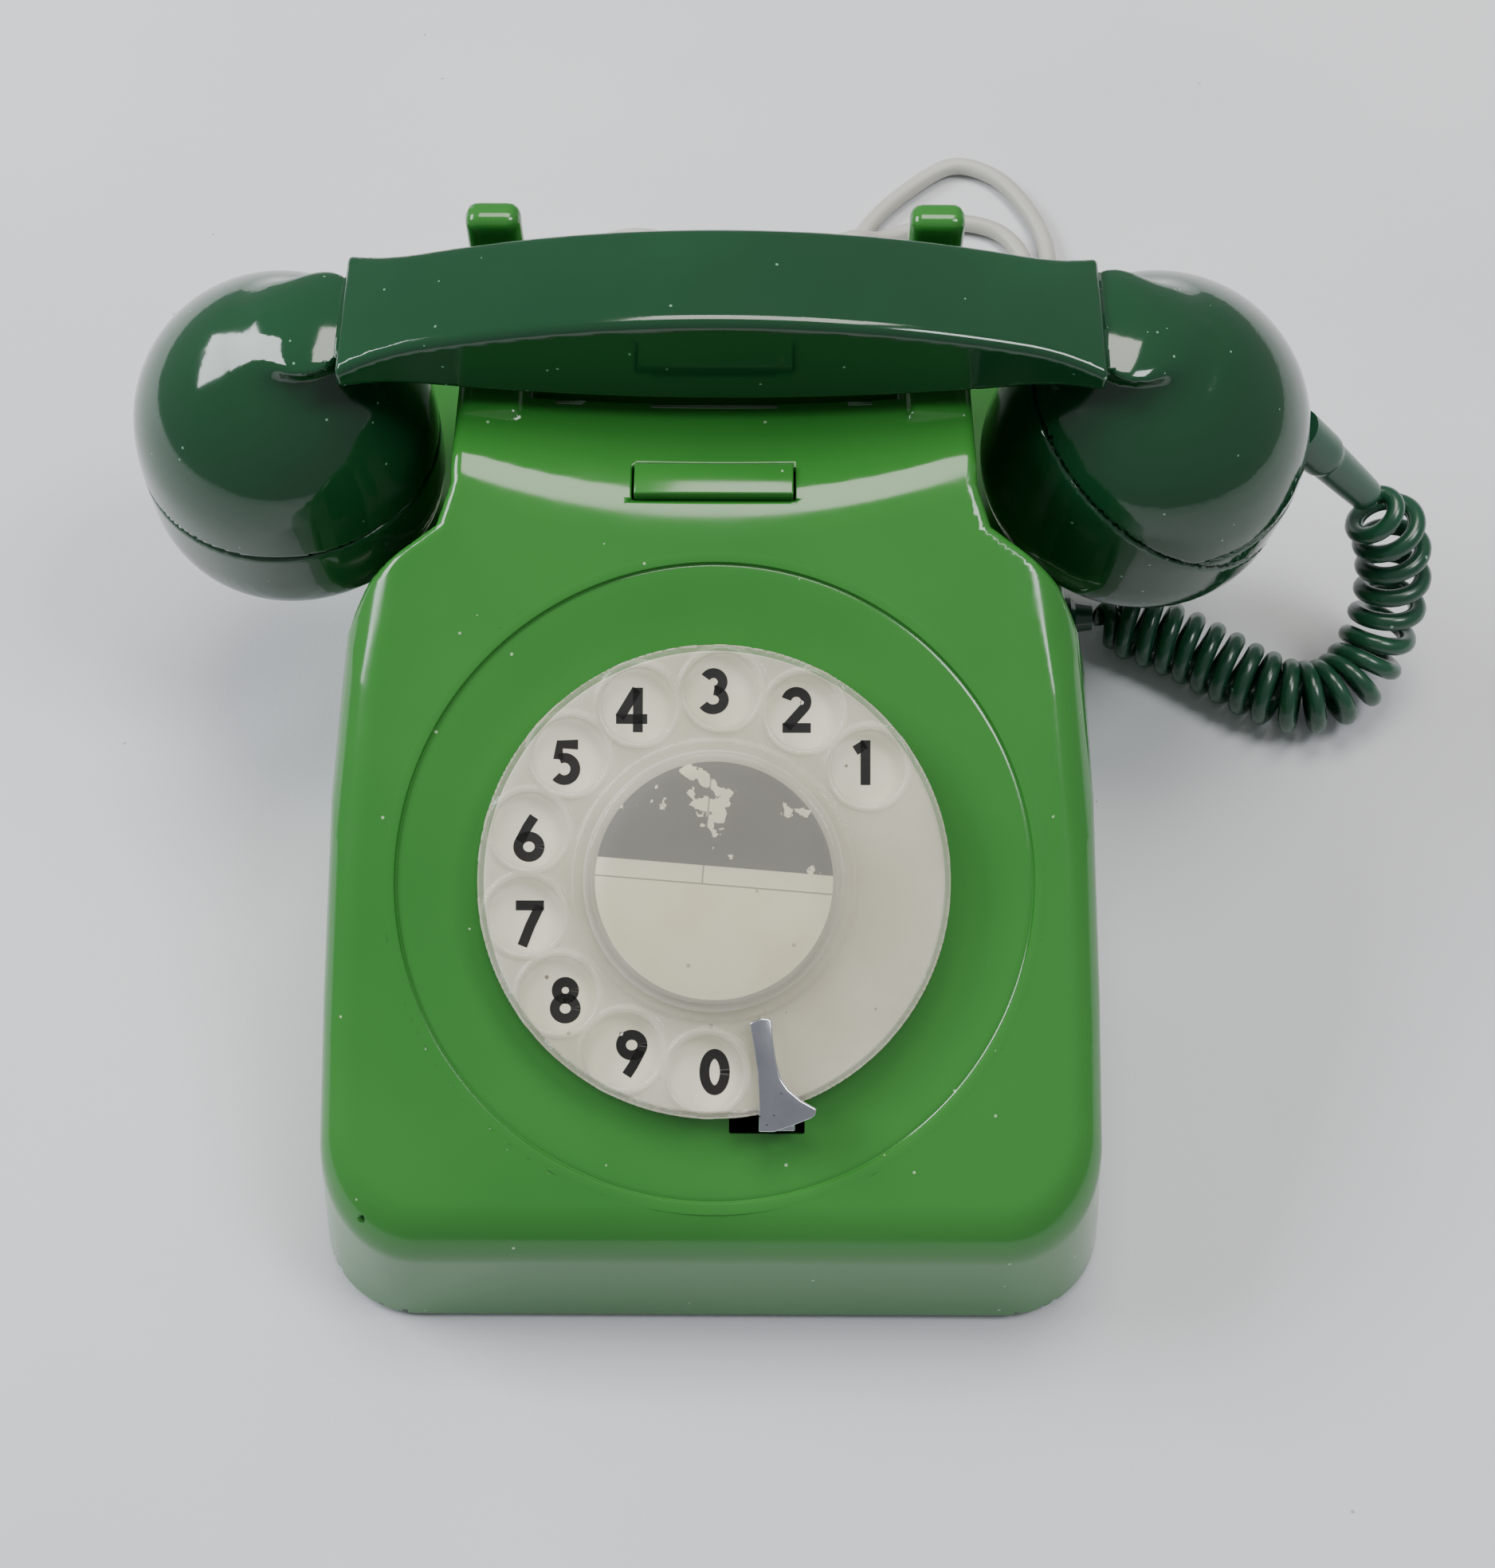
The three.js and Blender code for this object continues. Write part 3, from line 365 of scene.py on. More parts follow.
def moulded_mesh(name, field, low, high, cell):
    """The surface where a field is zero, one point in each cell that it passes through."""
    axes = [np.arange(a, b + cell, cell, dtype=np.float32) for a, b in zip(low, high)]
    open_axes = (axes[0][:, None, None], axes[1][None, :, None], axes[2][None, None, :])
    inside = np.broadcast_to(field(*open_axes), [len(a) for a in axes]) < 0
    corners = sum(
        inside[i : i - 1 or None, j : j - 1 or None, k : k - 1 or None].astype(np.int8)
        for i in (0, 1) for j in (0, 1) for k in (0, 1)
    )
    crossed = np.argwhere((corners > 0) & (corners < 8))
    number = np.full(corners.shape, -1, np.int64)
    number[tuple(crossed.T)] = np.arange(len(crossed))
    middle = np.stack([axes[k][crossed[:, k]] for k in range(3)], 1) + cell / 2
    points = middle.copy()

    def slope_at(where):
        nudge = 0.02
        return np.stack([
            field(*(where[:, j] + (nudge if j == k else 0) for j in range(3)))
            - field(*(where[:, j] - (nudge if j == k else 0) for j in range(3)))
            for k in range(3)
        ], 1) / (2 * nudge)

    for _ in range(4):
        slope = slope_at(points)
        size = np.maximum((slope ** 2).sum(1), 0.2)
        points -= slope * (field(*points.T) / size)[:, None]
        points = np.clip(points, middle - 0.7 * cell, middle + 0.7 * cell)
    normals = slope_at(points)
    normals /= np.maximum(np.linalg.norm(normals, axis=1), 1e-6)[:, None]
    faces = []
    for axis in range(3):
        ahead_of = np.roll(inside, -1, axis)
        changes = inside != ahead_of
        changes[tuple(slice(-1, None) if k == axis else slice(None) for k in range(3))] = False
        edge = np.argwhere(changes)
        u, v = (axis + 1) % 3, (axis + 2) % 3
        edge = edge[(edge[:, u] > 0) & (edge[:, v] > 0)]
        edge = edge[(edge[:, u] < inside.shape[u] - 1) & (edge[:, v] < inside.shape[v] - 1)]
        ring = []
        for du, dv in ((-1, -1), (0, -1), (0, 0), (-1, 0)):
            cell_of = edge.copy()
            cell_of[:, u] += du
            cell_of[:, v] += dv
            ring.append(number[tuple(cell_of.T)])
        quad = np.stack(ring, 1)
        outward = inside[tuple(edge.T)]
        quad[~outward] = quad[~outward][:, ::-1]
        faces.append(quad)
    quads = np.concatenate(faces)
    mesh = bpy.data.meshes.new(name)
    mesh.vertices.add(len(points))
    mesh.vertices.foreach_set("co", (points * MM).astype(np.float32).ravel())
    mesh.loops.add(quads.size)
    mesh.loops.foreach_set("vertex_index", quads.astype(np.int32).ravel())
    mesh.polygons.add(len(quads))
    mesh.polygons.foreach_set("loop_start", np.arange(0, quads.size, 4, dtype=np.int32))
    mesh.update(calc_edges=True)
    mesh.validate()
    mesh.polygons.foreach_set("use_smooth", [True] * len(mesh.polygons))
    mesh.normals_split_custom_set_from_vertices(normals.tolist())
    return mesh


def place_piece(piece, body, slot, *nodes):
    """Fixes a finished piece to the body that carries it, in place of its plain CAD nodes."""
    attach(piece, body)
    if nodes:
        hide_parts(*nodes)
    return piece


case_green = material(
    "case_green", "2c702a", "33772f", 0.1, 0.2, 0.02, "9ab98f", {"Coat Weight": 0.1, "Coat Roughness": 0.05},
    **{"Mottle Scale": 9.0, "Dust Share": 0.004, "Dust Scale": 900.0, "Grain Scale": 500.0},
)
CASE_CELL = 1.25
case = named_object(
    "case",
    moulded_mesh("case", case_field, (-82, -109, -1), (82, 109, 119), CASE_CELL),
    case_green,
)
place_piece(case, "root", "case_green", "case_shell")

# --- dial dish --------------------------------------------------------------------------
# The round floor of the face falls gently towards the dial opening. A hairline step runs
# round it, and a small slot at the foot lets the finger stop through.


def turned_rings(profile, steps, closed=True):
    """Points and faces of a profile of (radius, height) turned about the height axis."""
    points, faces = [], []
    for i in range(steps):
        angle = 2 * math.pi * i / steps
        points += [(r * math.cos(angle), r * math.sin(angle), h) for r, h in profile]
    n = len(profile)
    for i in range(steps):
        for j in range(n if closed else n - 1):
            a, b = i * n + j, i * n + (j + 1) % n
            c, d = (i + 1) % steps * n + (j + 1) % n, (i + 1) % steps * n + j
            faces.append((a, d, c, b))
    return points, faces


def settled(mesh, angle=35):
    """Merges doubles, turns faces outward and keeps edges above that angle crisp."""
    work = bmesh.new()
    work.from_mesh(mesh)
    bmesh.ops.remove_doubles(work, verts=work.verts, dist=1e-6)
    bmesh.ops.recalc_face_normals(work, faces=work.faces)
    work.to_mesh(mesh)
    work.free()
    mesh.set_sharp_from_angle(angle=math.radians(angle))
    return mesh


def turned_mesh(name, profile, steps=128, closed=True, angle=35):
    return settled(faced_mesh(name, *turned_rings(profile, steps, closed)), angle)


def bevelled_prism(name, outline, low, high, bevel, segments=3):
    """An outline drawn up from low to high, with all its edges rounded."""
    work = bmesh.new()
    bottom = [work.verts.new((x * MM, y * MM, low * MM)) for x, y in outline]
    top = [work.verts.new((x * MM, y * MM, high * MM)) for x, y in outline]
    work.faces.new(bottom[::-1])
    work.faces.new(top)
    for i in range(len(outline)):
        j = (i + 1) % len(outline)
        work.faces.new((bottom[i], bottom[j], top[j], top[i]))
    bmesh.ops.recalc_face_normals(work, faces=work.faces)
    bmesh.ops.bevel(
        work, geom=work.edges[:], offset=bevel * MM, segments=segments, affect="EDGES", profile=0.5,
        clamp_overlap=True,
    )
    mesh = bpy.data.meshes.new(name)
    work.to_mesh(mesh)
    work.free()
    mesh.polygons.foreach_set("use_smooth", [True] * len(mesh.polygons))
    mesh.set_sharp_from_angle(angle=math.radians(50))
    return mesh


def rectangle(low_x, low_y, high_x, high_y):
    return [(low_x, low_y), (high_x, low_y), (high_x, high_y), (low_x, high_y)]


FACE_FRAME = Matrix.Translation(Vector(DIAL_CENTRE) * MM) @ Matrix.Rotation(FACE_SLOPE, 4, "X")


def laid_on_face(mesh):
    """Moves a mesh made flat at the origin to its place on the sloping face."""
    mesh.transform(FACE_FRAME)
    return mesh


def joined_mesh(name, *meshes):
    work = bmesh.new()
    for mesh in meshes:
        work.from_mesh(mesh)
    joined = bpy.data.meshes.new(name)
    work.to_mesh(joined)
    work.free()
    joined.polygons.foreach_set("use_smooth", [True] * len(joined.polygons))
    joined.set_sharp_from_angle(angle=math.radians(40))
    return joined


DISH_PROFILE = [
    (62.1, -4.9), (62.1, -0.6), (63.5, -0.6), (63.7, 0), (63.4, 0.03), (61.9, 0.03), (61.65, -0.05),
    (61.5, -0.3), (61.4, -0.7), (61.2, -0.85), (60.8, -0.72), (60.2, -0.72), (58.5, -0.9), (56, -1.2),
    (53, -1.6), (50, -1.95), (47.4, -2.15), (45, -2.2), (43, -2.25), (42.6, -2.45), (42.5, -2.9),
    (42.5, -4.9),
]
dish = named_object("dial_dish", turned_mesh("dial_dish", DISH_PROFILE, 192), case_green)
cutter = named_object(
    "slot_cutter", bevelled_prism("slot_cutter", rectangle(3, -48.4, 17.5, -41), -12, 6, 0.4)
)
slot_cut = dish.modifiers.new("stop_slot", "BOOLEAN")
slot_cut.operation = "DIFFERENCE"
slot_cut.object = cutter
bpy.context.view_layer.update()
dish_shape = bpy.data.meshes.new_from_object(dish.evaluated_get(bpy.context.evaluated_depsgraph_get()))
dish.modifiers.clear()
dish.data = laid_on_face(dish_shape)
dish.data.set_sharp_from_angle(angle=math.radians(35))
bpy.data.objects.remove(cutter)
place_piece(dish, "root", "case_green", "case_shell")

# --- button blank -----------------------------------------------------------------------
# A moulded bar in the same green plastic closes the opening for a press button in the
# hollow of the neck. It clips in from behind.
BLANK = rectangle(-15.5, 29.3, 15.5, 36.3)
blank = named_object("button_bar", bevelled_prism("button_bar", BLANK, 89, 96.6, 0.35), case_green)
place_piece(blank, "root", "case_green", "button_blank")

# --- number plate -----------------------------------------------------------------------
# A cream plastic ring behind the finger plate, held by the dial's steel frame. The digits
# are printed on it in black, one under each finger hole.
cream_plastic = material(
    "cream_plastic", "e0dcc8", "d6d0b8", 0.25, 0.4, 0.03, "8a8070",
    **{"Mottle Scale": 60.0, "Dust Share": 0.006, "Grain Scale": 700.0},
)
black_print = material("black_print", "141211", "1d1a18", 0.35, 0.5, 0.02)
PLATE_PROFILE = [(6, 0), (44.2, 0), (44.2, 1.2), (43.9, 1.6), (6, 1.6)]
number_plate = named_object(
    "number_plate", laid_on_face(turned_mesh("number_plate", PLATE_PROFILE)), cream_plastic
)
place_piece(number_plate, "root", "cream_plastic", "dial_number_plate")

HOLE_PITCH = 36.4
HOLE_STEP = 25.74
FIRST_HOLE = 36.3
DIGIT_LEAD = 2.4  # the digits sit this many degrees past the middles of the holes
STROKE = 1.9


def bow(cx, cy, rx, ry, start, end):
    """Points along part of an oval, between two angles in degrees."""
    steps = max(4, round(abs(end - start) / 10))
    angles = np.radians(np.linspace(start, end, steps + 1))
    return [(cx + rx * math.cos(a), cy + ry * math.sin(a)) for a in angles]


DIGIT_STROKES = {
    "1": [[(0.5, -4.3), (0.5, 4.3)], [(-1.5, 2.3), (0.5, 3.55)]],
    "2": [bow(-0.1, 1.6, 1.95, 1.9, 165, -38) + [(-2.0, -3.4)], [(-2.75, -3.45), (2.7, -3.45)]],
    "3": [bow(-0.2, 1.8, 1.75, 1.7, 150, -80), bow(-0.3, -1.65, 2.1, 1.85, 85, -150)],
    "4": [[(0.9, 4.0), (-2.4, -1.5)], [(-3.1, -1.75), (2.9, -1.75)], [(1.1, 4.3), (1.1, -4.3)]],
    "5": [[(2.3, 3.45), (-1.2, 3.45), (-1.5, 0.6)], bow(-0.3, -1.25, 2.1, 2.15, 118, -140)],
    "6": [bow(0, -1.55, 2.05, 1.95, 0, 360), [(-1.75, -0.5), (-0.3, 2.3), (0.95, 4.2)]],
    "7": [[(-2.5, 3.45), (2.9, 3.45)], [(2.1, 3.4), (0.3, -0.4), (-1.2, -4.3)]],
    "8": [bow(0, 1.85, 1.65, 1.6, 0, 360), bow(0, -1.6, 2.0, 1.9, 0, 360)],
    "9": [bow(0, 1.55, 2.05, 1.95, 0, 360), [(1.75, 0.5), (0.3, -2.3), (-0.95, -4.2)]],
    "0": [bow(0, 0, 1.95, 3.45, 0, 360)],
}


def inked_stroke(stops, place, low=1.55, high=1.65):
    """A flat band of ink of the stroke's width along the stops."""
    line = np.array(stops)
    ahead = np.gradient(line, axis=0)
    if np.allclose(line[0], line[-1]):
        ahead[0] = ahead[-1] = ahead[0] + ahead[-1]
    ahead /= np.linalg.norm(ahead, axis=1)[:, None]
    off = np.stack([-ahead[:, 1], ahead[:, 0]], 1) * STROKE / 2
    edges = (line + off + place, line - off + place)
    points = [(x, y, z) for edge in edges for z in (low, high) for x, y in edge]
    n = len(line)
    sides = ((0, 1), (1, 3), (3, 2), (2, 0))
    faces = [(a * n + i, a * n + i + 1, b * n + i + 1, b * n + i) for a, b in sides for i in range(n - 1)]
    faces += [(0, n, 3 * n, 2 * n), (n - 1, 2 * n - 1, 4 * n - 1, 3 * n - 1)]
    return settled(faced_mesh("ink", points, faces, False))


ink = []
for i, digit in enumerate("1234567890"):
    angle = math.radians(FIRST_HOLE + DIGIT_LEAD + i * HOLE_STEP)
    place = np.array((HOLE_PITCH * math.cos(angle), HOLE_PITCH * math.sin(angle)))
    ink += [inked_stroke(stroke, place) for stroke in DIGIT_STROKES[digit]]
digit_ring = named_object("printed_digits", laid_on_face(joined_mesh("printed_digits", *ink)), black_print)
place_piece(digit_ring, "root", "cream_plastic")

# --- finger plate -----------------------------------------------------------------------
# A clear acrylic disc with ten finger holes, each with a raised rim. It turns with the
# main shaft and is clamped under the centre cap.


def clear_plastic(name, tint, dirt, least, most, gloss=0.05):
    """Clear acrylic, more solid to the eye where it is seen edge on."""
    made = material(
        name, tint, dirt, gloss, gloss + 0.08, 0.015, "f0eee6", {"IOR": 1.9},
        **{"Mottle Scale": 40.0, "Dust Share": 0.01, "Grain Scale": 400.0},
    )
    tree = made.node_tree
    grazing = wired(tree, "ShaderNodeLayerWeight", Blend=0.4).outputs["Facing"]
    solid = wired(tree, "ShaderNodeMapRange", _0=grazing, _1=0.1, _2=0.9, _3=least, _4=most)
    tree.links.new(solid.outputs[0], tree.nodes["Principled BSDF"].inputs["Alpha"])
    return made


finger_acrylic = clear_plastic("finger_acrylic", "e4e0cf", "d8d2bf", 0.2, 0.85)
HOLE_RADIUS = 7.05


def finger_plate_field(u, v, w):
    radius = np.hypot(u, v)
    top = np.interp(radius, [24.9, 25.4, 26.6, 27.2, 43.6, 44.2, 45], [5.9, 5.9, 5.9, 5.2, 5.2, 5.5, 5.35])
    plate = both((w - top.astype(np.float32)) * 0.9, 2.6 - w, radius - 45)
    for i in range(10):
        angle = math.radians(FIRST_HOLE + i * HOLE_STEP)
        reach = np.hypot(u - HOLE_PITCH * math.cos(angle), v - HOLE_PITCH * math.sin(angle))
        rim = np.hypot(reach - HOLE_RADIUS - 0.75, w - 5.15) - 0.75
        plate = soft_max(soft_min(plate, rim, 0.3), HOLE_RADIUS - reach, 0.35)
    return soft_max(plate, 22.4 - radius, 0.3)


PLATE_CELL = 0.5
finger_plate = named_object(
    "clear_finger_plate",
    laid_on_face(
        moulded_mesh("clear_finger_plate", finger_plate_field, (-46, -46, 2), (46, 46, 6.6), PLATE_CELL)
    ),
    finger_acrylic,
)
place_piece(finger_plate, "dial_rotor", "clear_plastic", "finger_plate")

# --- label and centre cap ---------------------------------------------------------------
# A printed card disc with a dark upper part, rubbed bare in places, lies on the hub. A
# shallow clear cap with a rounded rim snaps over it.


def label_card():
    made = material(
        "label_card", "f2efcf", "ebe6c0", 0.5, 0.65, 0.04, "b8b090",
        **{"Mottle Scale": 70.0, "Dust Share": 0.01, "Grain Scale": 900.0},
    )
    tree = made.node_tree
    place = tree.nodes.new("ShaderNodeTexCoord").outputs["Object"]
    turned = wired(tree, "ShaderNodeMapping", Vector=place)
    turned.vector_type = "TEXTURE"
    turned.inputs["Location"].default_value = Vector(DIAL_CENTRE) * MM
    turned.inputs["Rotation"].default_value = (FACE_SLOPE, 0, 0)
    upright = wired(tree, "ShaderNodeMapping", Vector=turned.outputs[0])
    upright.inputs["Rotation"].default_value = (0, 0, math.radians(4.5))
    parts = wired(tree, "ShaderNodeSeparateXYZ", Vector=upright.outputs[0]).outputs
    above = stepped(tree, parts[1], 0.0026, 0.0028)
    patches = wired(tree, "ShaderNodeTexNoise", Vector=upright.outputs[0], Scale=260.0, Detail=5.0)
    reach = wired(tree, "ShaderNodeVectorMath", _0=upright.outputs[0], _1=(-0.0045, 0.0155, 0.005))
    reach.operation = "DISTANCE"
    nearby = stepped(tree, reach.outputs["Value"], 0.003, 0.0105, 0.12, -0.05)
    bare = stepped(tree, arithmetic(tree, "ADD", patches.outputs[0], nearby), 0.6, 0.615)
    dark = arithmetic(tree, "MULTIPLY", above, arithmetic(tree, "SUBTRACT", 1.0, bare))
    rule = stepped(
        tree, arithmetic(tree, "ABSOLUTE", arithmetic(tree, "ADD", parts[1], 0.0008)), 0.0001, 0.0002,
        1.0, 0.0
    )
    upper = stepped(tree, parts[1], -0.0009, -0.0007)
    split = stepped(
        tree, arithmetic(tree, "ABSOLUTE", arithmetic(tree, "ADD", parts[0], 0.0022)), 0.0001, 0.0002,
        1.0, 0.0
    )
    lines = arithmetic(tree, "MAXIMUM", rule, arithmetic(tree, "MULTIPLY", upper, split))
    surface = next(n for n in tree.nodes if n.bl_idname == "ShaderNodeGroup").outputs["Colour"]
    ruled = blended(tree, arithmetic(tree, "MULTIPLY", lines, 0.75), surface, colour("5b5a54"))
    printed = blended(tree, dark, ruled, colour("55534e"))
    tree.links.new(printed, tree.nodes["Principled BSDF"].inputs["Base Color"])
    return made


card = named_object(
    "label_disc",
    laid_on_face(
        turned_mesh("label_disc",
        [(0, 5.4), (22.4, 5.4), (22.6, 5.5), (22.6, 5.8), (22.4, 5.9), (0, 5.9)], 96, False)
    ),
    label_card(),
)
place_piece(card, "dial_rotor", "label_card", "dial_label")

cap_acrylic = clear_plastic("cap_acrylic", "e2e0d6", "d8d4c6", 0.1, 0.9, 0.04)
CAP_PROFILE = [
    (0, 7), (23.2, 7), (23.3, 6.9), (23.3, 5.5), (24.75, 5.5), (24.8, 5.6), (24.8, 6.9), (24.6, 7.5),
    (24.2, 7.95), (23.6, 8.2), (23.0, 8.3), (22.4, 8.2), (22.0, 8.05), (21.4, 8.1), (18, 8.3),
    (12, 8.48), (6, 8.57), (0, 8.6),
]
cap = named_object(
    "clear_centre_cap", laid_on_face(turned_mesh("clear_centre_cap", CAP_PROFILE, 128, False)),
    cap_acrylic
)
place_piece(cap, "dial_rotor", "clear_plastic", "dial_centre_cap")

# --- finger stop ------------------------------------------------------------------------
# A bright plated blade reaches in over the finger plate. Its leg goes down through the
# slot in the dish and its arm is held behind the dial.
chrome = material(
    "chrome", "c9ccd2", "b9bcc4", 0.08, 0.2, 0.02, "77777c", {"Metallic": 1.0},
    **{"Mottle Scale": 120.0, "Dust Share": 0.02, "Dust Scale": 1500.0, "Grain Scale": 1500.0},
)
STOP_BLADE = [
    (6.8, -26.8), (9, -25.8), (11, -26), (11.3, -30), (11.9, -34), (12.8, -37.2), (14.2, -39.2),
    (16.6, -41.2), (19.6, -42.8), (19.3, -44), (18.6, -44.6), (15, -46), (11.6, -47.2), (8.6, -47.2),
    (8.7, -42), (8.4, -36), (7.6, -31),
]
stop_parts = (
    bevelled_prism("stop_blade", STOP_BLADE, 6.3, 7.8, 0.35),
    bevelled_prism("stop_leg", rectangle(8.7, -47.1, 15.5, -45.9), -7, 6.6, 0.25),
    bevelled_prism("stop_arm", rectangle(8.7, -47.1, 15.5, -36.5), -7.1, -5.7, 0.25),
    bevelled_prism("stop_riser", rectangle(8.7, -38.3, 15.5, -36.5), -6, -3.6, 0.25),
)
stop = named_object(
    "bright_finger_stop", laid_on_face(joined_mesh("bright_finger_stop", *stop_parts)), chrome
)
place_piece(stop, "root", "chrome", "finger_stop")

# --- dial mechanism ---------------------------------------------------------------------
# Steel plates and shafts with brass wheels, a spring that turns the dial back and a
# governor that holds its speed. All of it hangs below the face on a steel bracket.
brass = material(
    "brass", "c6a45a", "a8864a", 0.22, 0.38, 0.05, "7a6236", {"Metallic": 1.0},
    **{"Mottle Scale": 80.0, "Dust Share": 0.02, "Grain Scale": 2200.0},
)
black_moulding = material("black_moulding", "1b1b1d", "252427", 0.4, 0.6, 0.06, **{"Grain Scale": 1200.0})
finish_nodes(
    steel, "dial_frame", "dial_main_shaft", "dial_return_spring", "dial_bridge", "impulse_shaft",
    "governor_shaft", "governor_cup", "dial_bracket",
)
finish_nodes(
    brass, "dial_main_wheel", "impulse_pinion", "governor_drive_wheel", "governor_weights", "impulse_contacts"
)
finish_nodes(black_moulding, "impulse_cam")

# --- bell -------------------------------------------------------------------------------
# Two brass gongs on steel posts, with a clapper between them. Two copper coils move the
# clapper from side to side over one steel frame.
copper_wire = material(
    "copper_wire", "8c4527", "a05a34", 0.35, 0.5, 0.3, "c08050", {"Metallic": 0.7}, **{"Grain Scale": 2600.0}
)
finish_nodes(steel, "bell_frame", "gong_post_left", "gong_post_right", "bell_clapper")
finish_nodes(brass, "gong_left", "gong_right")
finish_nodes(copper_wire, "bell_coil_left", "bell_coil_right")

# --- cradle switch ----------------------------------------------------------------------
# Two plungers in the neck hold the handset's weight. They push a steel lever down, and
# the lever works a pile of brass contacts on its bracket.
finish_nodes(cream_plastic, "cradle_plunger_left", "cradle_plunger_right")
finish_nodes(steel, "hook_switch_lever", "hook_lever_pin", "switch_bracket")
finish_nodes(brass, "hook_switch_contacts")

# --- circuit board ----------------------------------------------------------------------
# A brown laminate board on four posts of the base carries the induction coil, the
# capacitor, the regulator and the strip that the cords are screwed to.
board_laminate = material("board_laminate", "6d4a26", "7c5730", 0.4, 0.6, 0.05, **{"Mottle Scale": 90.0})
finish_nodes(board_laminate, "circuit_board")
finish_nodes(steel, "induction_coil_core", "capacitor")
finish_nodes(copper_wire, "induction_coil_winding")
finish_nodes(black_moulding, "line_regulator", "terminal_strip")

# --- handset ----------------------------------------------------------------------------
# A dark green moulding: an arched handle with a crisp upper edge that runs down on to two
# round cups. A cap screws on to each cup, over the receiver and over the microphone.
HANDSET_X = 1.5
HANDLE_Y = 61.5
EAR_X = -90.65
MOUTH_X = 89.15
MOUTH_TILT = math.radians(10)
MOUTH_SEAM_TILT = math.radians(32)


def rounded_outline(points, rounds=3):
    """Cuts the corners of an open outline again and again, keeping its two ends."""
    for _ in range(rounds):
        cut = [points[0]]
        for (ax, ay), (bx, by) in zip(points, points[1:]):
            cut += [
                (0.75 * ax + 0.25 * bx, 0.75 * ay + 0.25 * by),
                (0.25 * ax + 0.75 * bx, 0.25 * ay + 0.75 * by)
            ]
        points = cut + [points[-1]]
    return points


def turned_field(profile):
    """The distance field of a turned solid, read from a fine table of its half section."""
    step = 0.5
    radii = np.arange(0, 250, step, dtype=np.float32)
    heights = np.arange(-60, 180, step, dtype=np.float32)
    mirrored = [(-r, h) for r, h in profile[::-1][1:-1]]
    near = outline_field(profile + mirrored, radii[:110, None], heights[None, :])
    table = np.concatenate([near, near[-1:] + (radii[110:, None] - radii[109])]).astype(np.float32)

    def field(radius, height):
        a = np.clip(radius / step, 0, len(radii) - 2.001)
        b = np.clip((height + 60) / step, 0, len(heights) - 2.001)
        a, b = np.broadcast_arrays(a, b)
        i, j = a.astype(np.int32), b.astype(np.int32)
        a, b = a - i, b - j
        low = table[i, j] * (1 - a) + table[i + 1, j] * a
        high = table[i, j + 1] * (1 - a) + table[i + 1, j + 1] * a
        return low * (1 - b) + high * b

    return field


EAR_CUP = turned_field(rounded_outline([
    (0, 48), (22, 48), (28.6, 50.4), (31.2, 56.5), (31.4, 66), (31.3, 76), (30.1, 83.4), (27.2, 90.2),
    (22.7, 96.6), (16, 102.6), (8, 107), (0, 108),
]))
MOUTH_CUP = turned_field(rounded_outline([
    (0, -29), (20, -29), (28.3, -26.6), (32.9, -17.5), (32.9, -8), (32.8, -1.5), (31.8, 6.4),
    (28.8, 14.5), (23.7, 21.5), (16.6, 27.5), (8, 32), (0, 33),
]))


def in_mouth_cup(x, z, tilt):
    across, up = x - MOUTH_X, z - 75
    return across * math.cos(tilt) - up * math.sin(tilt), across * math.sin(tilt) + up * math.cos(tilt)


def handset_form(x, y, z):
    x, y = x - HANDSET_X, y - HANDLE_Y
    along = np.abs(x)
    slope = 0.00423 * along
    crown = 1.6 * np.clip((y + 13.5) / 25.3, 0, 1) ** 2
    top = (z - 124.5 + crown + 18.3 * (x / 93) ** 2) / np.sqrt(1 + slope ** 2)
    under = 100.3 + 5.2 * (x / 64) ** 2 - z
    flare = 13.5 * np.clip((along - 58) / 34, 0, 1) ** 2
    side = both(y - 11.8, -y - 13.5) - flare
    handle = soft_max(soft_max(side, top, 2.0), under, 2.5)
    handle = soft_max(handle, along - 97, 8)
    ear = EAR_CUP(np.hypot(x - EAR_X, y), z)
    across, up = in_mouth_cup(x, z, MOUTH_TILT)
    mouth = MOUTH_CUP(np.hypot(across, y), up)
    ends = np.minimum(ear, mouth)
    limited = soft_max(handle, ends - 9, 6)
    middle = soft_max(handle, along - 74, 1)
    return soft_min(np.minimum(limited, middle), ends, 9)


def ear_bore(x, y, z):
    return both(np.hypot(x - HANDSET_X - EAR_X, y - HANDLE_Y) - 27.5, 51 - z, z - 84)


def mouth_bore(x, y, z):
    across, up = in_mouth_cup(x - HANDSET_X, z, MOUTH_TILT)
    return both(np.hypot(across, y - HANDLE_Y) - 27, -26 - up, up - 11)


def above_mouth_seam(x, z):
    return in_mouth_cup(x - HANDSET_X, z, MOUTH_SEAM_TILT)[1]


def grooved(form, seam):
    """The parting line where a cap meets its cup: two rounded lips with a dark gap."""
    return form + 0.45 * np.exp(-((seam / 0.5) ** 2))


def handle_field(x, y, z):
    form = handset_form(x, y, z)
    seam = above_mouth_seam(x, z)
    form = grooved(grooved(form, z - 71), np.where(x > 57, seam, 9))
    kept = both(form, np.where(x < 57, 71.1 - z, 0.1 - seam))
    return both(kept, -ear_bore(x, y, z), -mouth_bore(x, y, z))


def sound_holes(across, y):
    spots = [(0, 0)] + [(6 * math.cos(a), 6 * math.sin(a)) for a in np.arange(8) * math.pi / 4]
    distance = np.float32(1e3)
    for px, py in spots:
        distance = np.minimum(distance, np.hypot(across - px, y - py) - 1.2)
    return distance


